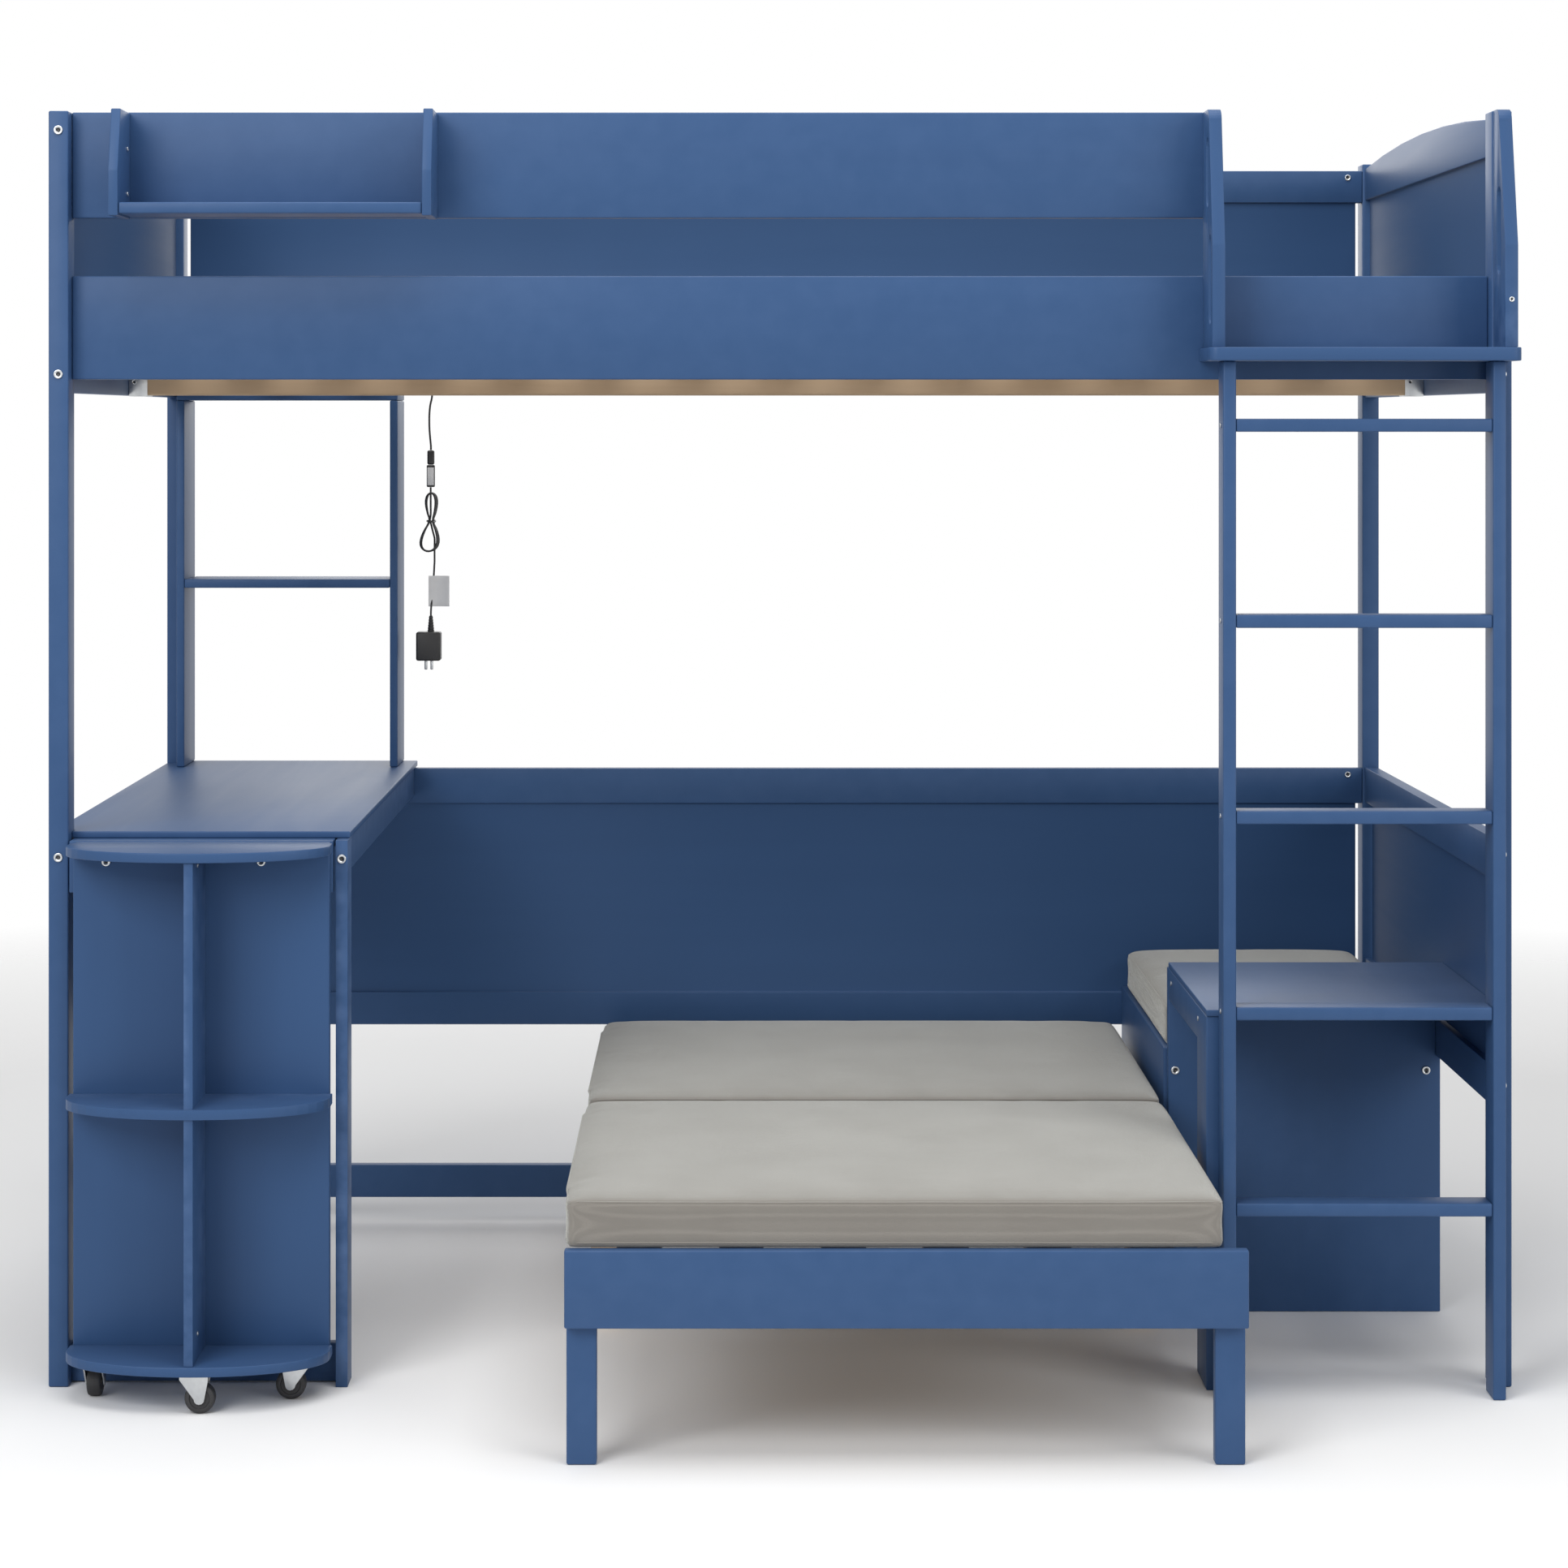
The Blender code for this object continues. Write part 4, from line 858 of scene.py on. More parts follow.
@dataclass
class LoftBase:
    """The pine beam in its steel hangers, and the slats on their cleats."""

    palette: Palette
    beam_edge: float = 0.003
    slat_edge: float = 0.0012
    hanger_length: float = 0.028
    hanger_wall: float = 0.0015
    steel_share: float = 0.7

    def build(self) -> None:
        """Builds the beam, its two hangers and the slats."""
        low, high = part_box("centre_beam")
        beam = box_block("centre_beam_board", low, high, self.beam_edge)
        dress(beam, self.palette.pine[Axis.X], Slot.PINE, "centre_beam")
        for node in ("left_loft_slats", "right_loft_slats"):
            slats = node_copy(node, self.slat_edge, 2)
            dress(slats, self.palette.pine[Axis.Y], Slot.PINE, node)
        self._hanger("left_beam_hanger", low, high, low.x)
        self._hanger("right_beam_hanger", low, high, high.x - self.hanger_length)

    def _hanger(self, name: str, low: Vector, high: Vector, start: float) -> None:
        """A steel shoe round the beam's end, open at its top.

        Args:
            name: the piece's name.
            low: the beam's lowest corner.
            high: the beam's highest corner.
            start: where the shoe starts along X.
        """
        wall = self.hanger_wall
        first = (start, low.y - wall, low.z - wall)
        last = (start + self.hanger_length, high.y + wall, high.z - wall)
        shoe = box_block(name, first, last, wall / 3, 2)
        select_faces(shoe, lambda face: face.normal.z > FACING)
        bpy.ops.mesh.delete(type="FACE")
        bpy.ops.object.mode_set(mode="OBJECT")
        shell = shoe.modifiers.new("Wall", "SOLIDIFY")
        shell.thickness = wall * self.steel_share
        shell.offset = -1
        bpy.ops.object.modifier_apply(modifier=shell.name)
        dress(shoe, self.palette.zinc, Slot.ZINC)


@dataclass(frozen=True)
class Head:
    """The size of a bolt's, a screw's or a nut's head."""

    radius: float
    height: float


@dataclass
class Hardware:
    """Bolt heads, screws and cap nuts on the boards."""

    palette: Palette
    bolt: Head = Head(0.0062, 0.0022)
    rear_bolt: Head = Head(0.00496, 0.00176)
    cap_nut: Head = Head(0.0062, 0.00352)
    screw: Head = Head(0.0036, 0.0012)
    rim_share: float = 0.35
    land_share: float = 0.36
    step_share: float = 0.02
    socket_share: float = 0.8
    front_heights: tuple[tuple[str, tuple[float, ...]], ...] = (
        ("front_left_post", (1.704, 1.373, 0.718)),
        ("front_right_post", (1.704, 1.373, 0.722, 0.409)),
    )
    rear_heights: tuple[tuple[str, tuple[float, ...]], ...] = (
        ("rear_left_post", (1.708,)),
        ("rear_right_post", (1.708, 0.731)),
    )
    rear_reach: float = 0.024
    leg_inset: float = 0.008
    leg_height: float = 0.716
    panel_insets: tuple[float, float] = (0.010, 0.021)
    panel_height: float = 0.355
    nut_insets: tuple[float, float] = (0.045, 0.092)
    nut_height: float = 0.715
    divider_half: float = 0.006
    divider_setback: float = 0.044
    divider_drop: float = 0.007
    divider_rise: float = 0.034
    hanger_wall: float = 0.0015
    hanger_insets: tuple[float, float] = (0.008, 0.020)
    hanger_rise: float = 0.006
    handrail_height: float = 1.472
    shelf_heights: tuple[float, float] = (1.678, 1.617)
    shelf_setback: float = 0.021
    table_insets: tuple[float, float] = (0.085, 0.037)
    table_height: float = 0.488
    rungs: int = 5
    meshes: dict[Head, bpy.types.Mesh] = field(default_factory=dict)

    def build(self) -> None:
        """Places every head."""
        self._frame_bolts()
        self._cart_heads()
        self._hanger_screws()
        self._side_screws()

    def _mesh(self, head: Head) -> bpy.types.Mesh:
        """The mesh of a head with its socket, facing -Y at the origin.

        Args:
            head: its size.

        Returns:
            The mesh, built once for each size.
        """
        if head in self.meshes:
            return self.meshes[head]
        middle, rim = (0, -head.height / 2, 0), head.height * self.rim_share
        made = round_block("head", middle, head.radius, head.height, Axis.Y, rim, 24)
        made.data.materials.append(self.palette.zinc)
        made.data.materials.append(self.palette.dark)
        select_faces(made, lambda face: face.normal.y < -FLAT)
        bpy.ops.mesh.inset(thickness=head.radius * self.land_share, depth=0)
        bpy.ops.mesh.inset(thickness=head.radius * self.step_share, depth=-head.height * self.socket_share)
        bpy.ops.object.mode_set(mode="OBJECT")
        for face in made.data.polygons:
            face.material_index = 1 if face.select else 0
        self.meshes[head] = made.data.copy()
        bpy.data.objects.remove(made, do_unlink=True)
        return self.meshes[head]

    def _row(
        self, name: str, head: Head, places: Iterable[Point], turn: float = 0, body: Body = Body.FRAME
    ) -> None:
        """Puts a numbered row of heads on a face.

        Args:
            name: the row's name, which the numbers follow.
            head: the heads' size.
            places: their points on the face.
            turn: their turn about Z from facing -Y.
            body: the body that they ride on.
        """
        for number, where in enumerate(places, 1):
            mesh = self._mesh(head).copy()
            mesh.transform(Matrix.Translation(Vector(where)) @ Matrix.Rotation(turn, 4, "Z"))
            made = bpy.data.objects.new(f"{name}_{number}", mesh)
            bpy.context.scene.collection.objects.link(made)
            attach(made, body.value)

    def _frame_bolts(self) -> None:
        """Bolts on the front posts, the desk's leg, the rear rails and the bench's panel."""
        for node, heights in self.front_heights:
            low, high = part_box(node)
            self._row(f"{node}_bolt", self.bolt, [((low.x + high.x) / 2, low.y, z) for z in heights])
        low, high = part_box("desk_leg")
        self._row("desk_leg_bolt", self.bolt, [(high.x - self.leg_inset, low.y, self.leg_height)])
        for node, heights in self.rear_heights:
            low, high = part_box(node)
            x = high.x + self.rear_reach if node == "rear_left_post" else low.x - self.rear_reach
            self._row(f"{node}_bolt", self.rear_bolt, [(x, low.y, z) for z in heights])
        low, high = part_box("bench_end_panel")
        spots = (low.x + self.panel_insets[0], high.x - self.panel_insets[1])
        self._row("bench_panel_bolt", self.bolt, [(x, low.y, self.panel_height) for x in spots])

    def _cart_heads(self) -> None:
        """Cap nuts on the rolling shelves' back, and screws on the divider's right face."""
        low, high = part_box("cart_back")
        spots = (low.x + self.nut_insets[0], high.x - self.nut_insets[1])
        self._row("cart_cap_nut", self.cap_nut, [(x, low.y, self.nut_height) for x in spots], body=Body.DESK)
        low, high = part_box("cart_middle_shelf")
        x = (low.x + high.x) / 2 + self.divider_half
        y = low.y + self.divider_setback
        levels = (high.z - self.divider_drop, low.z + self.divider_rise)
        self._row("divider_screw", self.screw, [(x, y, z) for z in levels], pi / 2, Body.DESK)

    def _hanger_screws(self) -> None:
        """Two screws on the front of each of the beam's hangers."""
        low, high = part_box("centre_beam")
        near, far = self.hanger_insets
        y = low.y - self.hanger_wall
        z = (low.z + high.z) / 2
        below, above = z - self.hanger_rise, z + self.hanger_rise
        places = [
            (low.x + near, y, below), (low.x + far, y, above),
            (high.x - far, y, below), (high.x - near, y, above),
        ]
        self._row("hanger_screw", self.screw, places)

    def _side_screws(self) -> None:
        """Small screws on the hand rail, the ladder's rail, the small shelf's sides and the table's side."""
        low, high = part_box("right_handrail")
        self._row("handrail_bolt", self.screw, [((low.x + high.x) / 2, low.y, self.handrail_height)])
        low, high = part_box("ladder_left_rail")
        rungs = [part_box(f"rung_{number}") for number in range(1, self.rungs + 1)]
        places = [(low.x, (low.y + high.y) / 2, (bottom.z + top.z) / 2) for bottom, top in rungs]
        self._row("rung_screw", self.screw, places, -pi / 2)
        low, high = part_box("guard_shelf_left_side")
        places = [(high.x, high.y - self.shelf_setback, z) for z in self.shelf_heights]
        self._row("shelf_left_screw", self.screw, places, pi / 2)
        low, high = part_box("guard_shelf_right_side")
        places = [(low.x, high.y - self.shelf_setback, z) for z in self.shelf_heights]
        self._row("shelf_right_screw", self.screw, places, -pi / 2)
        low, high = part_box("table_side")
        spots = (low.y + self.table_insets[0], high.y - self.table_insets[1])
        self._row("table_screw", self.screw, [(low.x, y, self.table_height) for y in spots], -pi / 2)


@dataclass
class Caster:
    """A zinc fork with a black wheel and its hub."""

    palette: Palette
    side: str
    axle: Axis
    fork_edge: float = 0.0005
    tyre_edge: float = 0.004
    rim_width: float = 0.0022
    groove_width: float = 0.0010
    groove_depth: float = 0.0014
    hub_radius: float = 0.0085
    hub_wall: float = 0.0006
    hub_edge: float = 0.0006

    def build(self) -> None:
        """Builds the fork, which swivels, and the wheel and hub, which spin."""
        fork = node_copy(f"{self.side}_caster_fork", self.fork_edge, 2)
        swivel = Body(f"{self.side}_swivel")
        dress(fork, self.palette.zinc, Slot.ZINC, f"{self.side}_caster_fork", body=swivel)
        low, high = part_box(f"{self.side}_caster_wheel")
        middle = (low + high) / 2
        radius = (high.z - low.z) / 2
        width = (high - low)[self.axle.value]
        spin = Body(f"{self.side}_wheel")
        wheel = round_block(f"{self.side}_caster_tyre", middle, radius, width, self.axle, self.tyre_edge, 48)
        select_faces(wheel, lambda face: abs(face.normal[self.axle.value]) > FLAT)
        bpy.ops.mesh.inset(thickness=self.rim_width, depth=0, use_individual=True)
        bpy.ops.mesh.inset(thickness=self.groove_width, depth=-self.groove_depth, use_individual=True)
        bpy.ops.object.mode_set(mode="OBJECT")
        smooth(wheel)
        dress(wheel, self.palette.rubber, Slot.RUBBER, f"{self.side}_caster_wheel", body=spin)
        width -= 2 * self.hub_wall
        hub = round_block(
            f"{self.side}_caster_hub", middle, self.hub_radius, width, self.axle, self.hub_edge, 24
        )
        dress(hub, self.palette.plastic, Slot.PLASTIC, body=spin)


@dataclass
class Cart:
    """The rounded shelves on casters and the desktop that slides with them."""

    palette: Palette
    edge: float = 0.0015
    nodes: tuple[str, ...] = (
        "cart_back", "cart_bottom_shelf", "cart_middle_shelf", "cart_top_shelf", "sliding_desktop",
    )

    def build(self) -> None:
        """Builds the boards and the three casters."""
        for node in self.nodes:
            board = node_copy(node, self.edge)
            dress(board, self.palette.paint[longest(node)], Slot.PAINT, node, body=Body.DESK)
        for side, axle in (("left", Axis.X), ("right", Axis.Y), ("front", Axis.Y)):
            Caster(self.palette, side, axle).build()


@dataclass
class LowerBed:
    """The fixed slatted base and the pull-out part with its front board and legs."""

    palette: Palette
    base_edge: float = 0.0012
    board_edge: float = 0.0025
    slat_edge: float = 0.0015
    board_thickness: float = 0.018
    board_height: float = 0.098
    leg_width: float = 0.038
    leg_depth: float = 0.022
    leg_room: float = 0.002
    slat_width: float = 0.056
    slat_room: float = 0.0085
    slat_thickness: float = 0.018
    slat_drop: float = 0.0012
    slats: int = 6
    batten_height: float = 0.030
    gap: float = 0.0003

    def build(self) -> None:
        """Builds the fixed base, and then the pull-out part piece by piece."""
        base = node_copy("fixed_bed_base", self.base_edge, 2)
        dress(base, self.palette.pine[Axis.Y], Slot.PINE, "fixed_bed_base")
        low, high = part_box("pull_out_base")
        board_low = (low.x, low.y, high.z - self.board_height)
        board_high = (high.x, low.y + self.board_thickness, high.z)
        board = box_block("pull_out_board", board_low, board_high, self.board_edge)
        dress(board, self.palette.paint[Axis.X], Slot.PAINT, "pull_out_base", body=Body.BED)
        back = low.y + self.board_thickness + self.gap
        under = high.z - self.slat_thickness - self.gap
        starts = (low.x + self.leg_room, high.x - self.leg_room - self.leg_width)
        for side, x in zip(("left", "right"), starts):
            leg_high = (x + self.leg_width, back + self.leg_depth, under)
            leg = box_block(f"pull_out_{side}_leg", (x, back, low.z), leg_high, self.board_edge)
            dress(leg, self.palette.paint[Axis.Z], Slot.PAINT, body=Body.BED)
        for number in range(self.slats):
            x = low.x + (1 + 2 * number) * (self.slat_width + self.slat_room)
            slat_low = (x, back, high.z - self.slat_thickness)
            slat_high = (x + self.slat_width, high.y, high.z - self.slat_drop)
            slat = box_block(f"pull_out_slat_{number + 1}", slat_low, slat_high, self.slat_edge, 2)
            dress(slat, self.palette.pine[Axis.Y], Slot.PINE, body=Body.BED)
        batten_low = (starts[0] + self.leg_width + self.gap, back, under - self.batten_height)
        batten_high = (starts[1] - self.gap, back + self.batten_height, under)
        batten = box_block("pull_out_batten", batten_low, batten_high, self.slat_edge, 2)
        dress(batten, self.palette.pine[Axis.X], Slot.PINE, body=Body.BED)


@dataclass
class Cushion:
    """A boxed velvet cushion with a crown, drawn-in sides and two welted seams."""

    palette: Palette
    node: str
    name: str
    cuts: int = 23
    crown: float = 0.010
    draw: float = 0.004
    corner_draw_share: float = 0.006
    margin: float = 0.003
    edge: float = 0.007
    edge_angle: float = 50.0
    voxel: float = 0.010
    quick_share: float = 1.4
    fill: float = 0.8
    pressure: float = 3.0
    quality: int = 4
    stiffness: float = 25.0
    bending: float = 2.0
    frames: int = 14
    cap: float = 0.004
    foot: float = 0.016
    foot_share: float = 0.05
    welt: float = 0.0013
    sunk_share: float = 0.35
    welt_points: int = 30
    seam_levels: tuple[tuple[str, float], ...] = (("upper", 0.90), ("lower", 0.08))
    squashed: float = 1.0

    def build(self) -> None:
        low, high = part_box(self.node)
        pad = self._form(low, high)
        self._swell(pad)
        self._settle(pad, low, high)
        only(pad)
        bpy.ops.object.shade_smooth()
        dress(pad, self.palette.velvet, Slot.VELVET, self.node)
        pieces = [pad] + [self._seam(pad, low, high, *seam) for seam in self.seam_levels]
        if self.squashed < 1:
            for piece in pieces:
                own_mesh(piece)

    def _form(self, low: Vector, high: Vector) -> bpy.types.Object:
        """The cushion before its filling swells it.

        Args:
            low: the lowest corner of its space.
            high: the highest corner of its space.

        Returns:
            The pad.
        """
        bpy.ops.object.select_all(action="DESELECT")
        bpy.ops.mesh.primitive_cube_add(size=2, location=(0, 0, 0))
        pad = bpy.context.active_object
        pad.name = self.name
        bpy.ops.object.mode_set(mode="EDIT")
        bpy.ops.mesh.select_all(action="SELECT")
        bpy.ops.mesh.subdivide(number_cuts=self.cuts)
        bpy.ops.object.mode_set(mode="OBJECT")
        middle = (low + high) / 2
        half = (high - low) / 2 - Vector((self.margin, self.margin, 0))
        height = high.z - low.z
        for vertex in pad.data.vertices:
            u, v, w = vertex.co
            drawn = self.draw * (1 - w * w)
            corner = 1 - self.corner_draw_share * (u * v) ** 8
            rise = (w + 1) / 2
            vertex.co.x = middle.x + u * corner * (half.x - drawn)
            vertex.co.y = middle.y + v * corner * (half.y - drawn)
            crowned = (1 - u ** 4) * (1 - v ** 4)
            vertex.co.z = low.z + rise * (height - self.crown + self.crown * crowned)
        edge = pad.modifiers.new("Soft edges", "BEVEL")
        edge.width = self.edge
        edge.segments = 3
        edge.limit_method = "ANGLE"
        edge.angle_limit = radians(self.edge_angle)
        only(pad)
        bpy.ops.object.modifier_apply(modifier=edge.name)
        even = pad.modifiers.new("Even mesh", "REMESH")
        even.mode = "VOXEL"
        even.voxel_size = self.voxel
        bpy.ops.object.modifier_apply(modifier=even.name)
        return pad

    def _swell(self, pad: bpy.types.Object) -> None:
        """Fills the pad with cloth pressure, and caps how far each point moves.

        Args:
            pad: the pad.
        """
        before = [vertex.co.copy() for vertex in pad.data.vertices]
        cloth = pad.modifiers.new("Filling", "CLOTH")
        cloth.settings.quality = self.quality
        cloth.settings.use_pressure = True
        cloth.settings.uniform_pressure_force = self.pressure
        cloth.settings.tension_stiffness = self.stiffness
        cloth.settings.compression_stiffness = self.stiffness
        cloth.settings.bending_stiffness = self.bending
        cloth.settings.effector_weights.gravity = 0
        scene = bpy.context.scene
        for number in range(1, self.frames + 1):
            scene.frame_set(number)
        only(pad)
        bpy.ops.object.modifier_apply(modifier=cloth.name)
        scene.frame_set(1)
        for vertex, start in zip(pad.data.vertices, before):
            moved = vertex.co - start
            if moved.length > self.cap:
                vertex.co = start + moved.normalized() * self.cap

    def _settle(self, pad: bpy.types.Object, low: Vector, high: Vector) -> None:
        """Keeps the pad in its space, flat where it rests, and smooths it once.

        Args:
            pad: the pad.
            low: the lowest corner of its space.
            high: the highest corner of its space.
        """
        finer = pad.modifiers.new("Finer", "SUBSURF")
        finer.levels = 1
        finer.render_levels = 1
        only(pad)
        bpy.ops.object.modifier_apply(modifier=finer.name)
        for vertex in pad.data.vertices:
            vertex.co.x = min(max(vertex.co.x, low.x), high.x)
            vertex.co.y = min(max(vertex.co.y, low.y), high.y)
            height = min(max(vertex.co.z - low.z, 0), high.z - low.z + self.cap)
            kept = self.foot_share + (1 - self.foot_share) * height / self.foot
            vertex.co.z = low.z + height * min(1, kept)

    def _seam(
        self, pad: bpy.types.Object, low: Vector, high: Vector, word: str, level: float
    ) -> bpy.types.Object:
        """A thin welt round the pad's side, laid on its surface.

        Args:
            pad: the finished pad.
            low: the lowest corner of its space.
            high: the highest corner of its space.
            word: the seam's name.
            level: its height as a share of the pad's.

        Returns:
            The welt, as a mesh.
        """
        z = low.z + (high.z - low.z) * level
        corners = [Vector((x, y, z)) for x, y in (low.xy, (high.x, low.y), high.xy, (low.x, high.y))]
        line = []
        for start, end in zip(corners, corners[1:] + corners[:1]):
            for step in range(self.welt_points):
                spot = start.lerp(end, step / self.welt_points)
                found, place, normal, _ = pad.closest_point_on_mesh(spot)
                line.append(place - normal * self.welt * self.sunk_share if found else spot)
        welt = only(tube(f"{self.name}_{word}_welt", line, self.welt, closed=True, sides=2))
        bpy.ops.object.convert(target="MESH")
        return dress(welt, self.palette.velvet, Slot.VELVET)


@dataclass
class Controller:
    """The light's controller, with the plug above it and a blank plate on its front."""

    palette: Palette
    plug_height: float = 0.024
    plug_inset: float = 0.0008
    plug_setback: float = 0.001
    plug_gap: float = 0.0004
    case_edge: float = 0.0018
    plug_edge: float = 0.0028
    plate_inset: float = 0.0012
    plate_half: float = 0.0004
    plate_rise: float = 0.003
    plate_drop: float = 0.004
    plate_edge: float = 0.0002

    def build(self) -> list[bpy.types.Object]:
        """Builds the controller.

        Returns:
            Its case, plug and plate.
        """
        low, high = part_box("led_controller")
        split = high.z - self.plug_height
        case = box_block("led_controller_case", low, (high.x, high.y, split), self.case_edge)
        dress(case, self.palette.plastic, Slot.PLASTIC, "led_controller")
        plug_low = (low.x + self.plug_inset, low.y + self.plug_setback, split + self.plug_gap)
        plug_high = (high.x - self.plug_inset, high.y, high.z)
        plug = box_block("led_controller_plug", plug_low, plug_high, self.plug_edge)
        dress(plug, self.palette.plastic, Slot.PLASTIC)
        plate_low = (low.x + self.plate_inset, low.y - self.plate_half, low.z + self.plate_rise)
        plate_high = (high.x - self.plate_inset, low.y + self.plate_half, split - self.plate_drop)
        plate = box_block("led_controller_plate", plate_low, plate_high, self.plate_edge, 2)
        dress(plate, self.palette.card, Slot.PLASTIC)
        return [case, plug, plate]


@dataclass
class PowerAdapter:
    """The power adapter: its case with a seam, a ribbed strain relief and two pins."""

    palette: Palette
    x: float
    y: float
    pin_drop: float = 0.015
    relief_height: float = 0.026
    case_edge: float = 0.0035
    seam_setbacks: tuple[float, float] = (0.0105, 0.0112)
    seam_room: float = 0.002
    seam_edge: float = 0.0002
    seam_proud: float = 0.0002
    pin_spread: float = 0.00475
    pin_middle: float = 0.0078
    pin_radius: float = 0.0023
    pin_length: float = 0.0155
    pin_edge: float = 0.0009
    ribs: int = 6
    rib_radius: float = 0.0055
    rib_taper: float = 0.0026
    rib_groove: float = 0.0008
    rib_share: float = 0.6
    groove_share: float = 0.7
    neck_radius: float = 0.0029
    sunk: float = 0.001
    steps: int = 24
    merge: float = 0.00001

    def build(self) -> list[bpy.types.Object]:
        """Builds the adapter.

        Returns:
            Its case, seam, relief and pins.
        """
        low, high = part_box("power_adapter")
        bottom, top = low.z + self.pin_drop, high.z - self.relief_height
        case = box_block("adapter_case", (low.x, low.y, bottom), (high.x, high.y, top), self.case_edge, 4)
        dress(case, self.palette.plastic, Slot.PLASTIC, "power_adapter")
        front, back = self.seam_setbacks
        seam_low = (low.x - self.seam_proud, low.y + front, bottom + self.seam_room)
        seam_high = (high.x + self.seam_proud, low.y + back, top - self.seam_room)
        seam = box_block("adapter_seam", seam_low, seam_high, self.seam_edge, 2)
        dress(seam, self.palette.rubber, Slot.RUBBER)
        pieces = [case, seam, self._relief(top, high.z)]
        for number, side in enumerate((-1, 1), 1):
            place = ((low.x + high.x) / 2 + side * self.pin_spread, self.y, low.z + self.pin_middle)
            pin = round_block(
                f"adapter_pin_{number}", place, self.pin_radius, self.pin_length, Axis.Z, self.pin_edge, 24
            )
            pieces.append(dress(pin, self.palette.zinc, Slot.ZINC))
        return pieces

    def _relief(self, low: float, high: float) -> bpy.types.Object:
        """A tapered sleeve with ribs, turned about the cord.

        Args:
            low: its lower end.
            high: its upper end.

        Returns:
            The sleeve.
        """
        profile = [(0, low - self.sunk), (self.rib_radius, low - self.sunk)]
        pitch = (high - low) / self.ribs
        for rib in range(self.ribs):
            base = low + (high - low) * rib / self.ribs
            radius = self.rib_radius - self.rib_taper * rib / self.ribs
            profile += [
                (radius, base),
                (radius, base + pitch * self.rib_share),
                (radius - self.rib_groove, base + pitch * self.groove_share),
            ]
        profile += [(self.neck_radius, high), (0, high)]
        mesh = bpy.data.meshes.new("relief")
        points = [(radius, 0, z) for radius, z in reversed(profile)]
        mesh.from_pydata(points, [(i, i + 1) for i in range(len(points) - 1)], [])
        sleeve = bpy.data.objects.new("adapter_relief_sleeve", mesh)
        bpy.context.scene.collection.objects.link(sleeve)
        sleeve.location = (self.x, self.y, 0)
        turn = sleeve.modifiers.new("Turned", "SCREW")
        turn.steps = self.steps
        turn.render_steps = self.steps
        turn.use_merge_vertices = True
        turn.merge_threshold = self.merge
        only(sleeve)
        bpy.ops.object.modifier_apply(modifier=turn.name)
        bpy.ops.object.mode_set(mode="EDIT")
        bpy.ops.mesh.select_all(action="SELECT")
        bpy.ops.mesh.remove_doubles(threshold=self.merge)
        bpy.ops.mesh.normals_make_consistent(inside=False)
        bpy.ops.object.mode_set(mode="OBJECT")
        apply_place(sleeve)
        smooth(sleeve)
        return dress(sleeve, self.palette.plastic, Slot.PLASTIC)


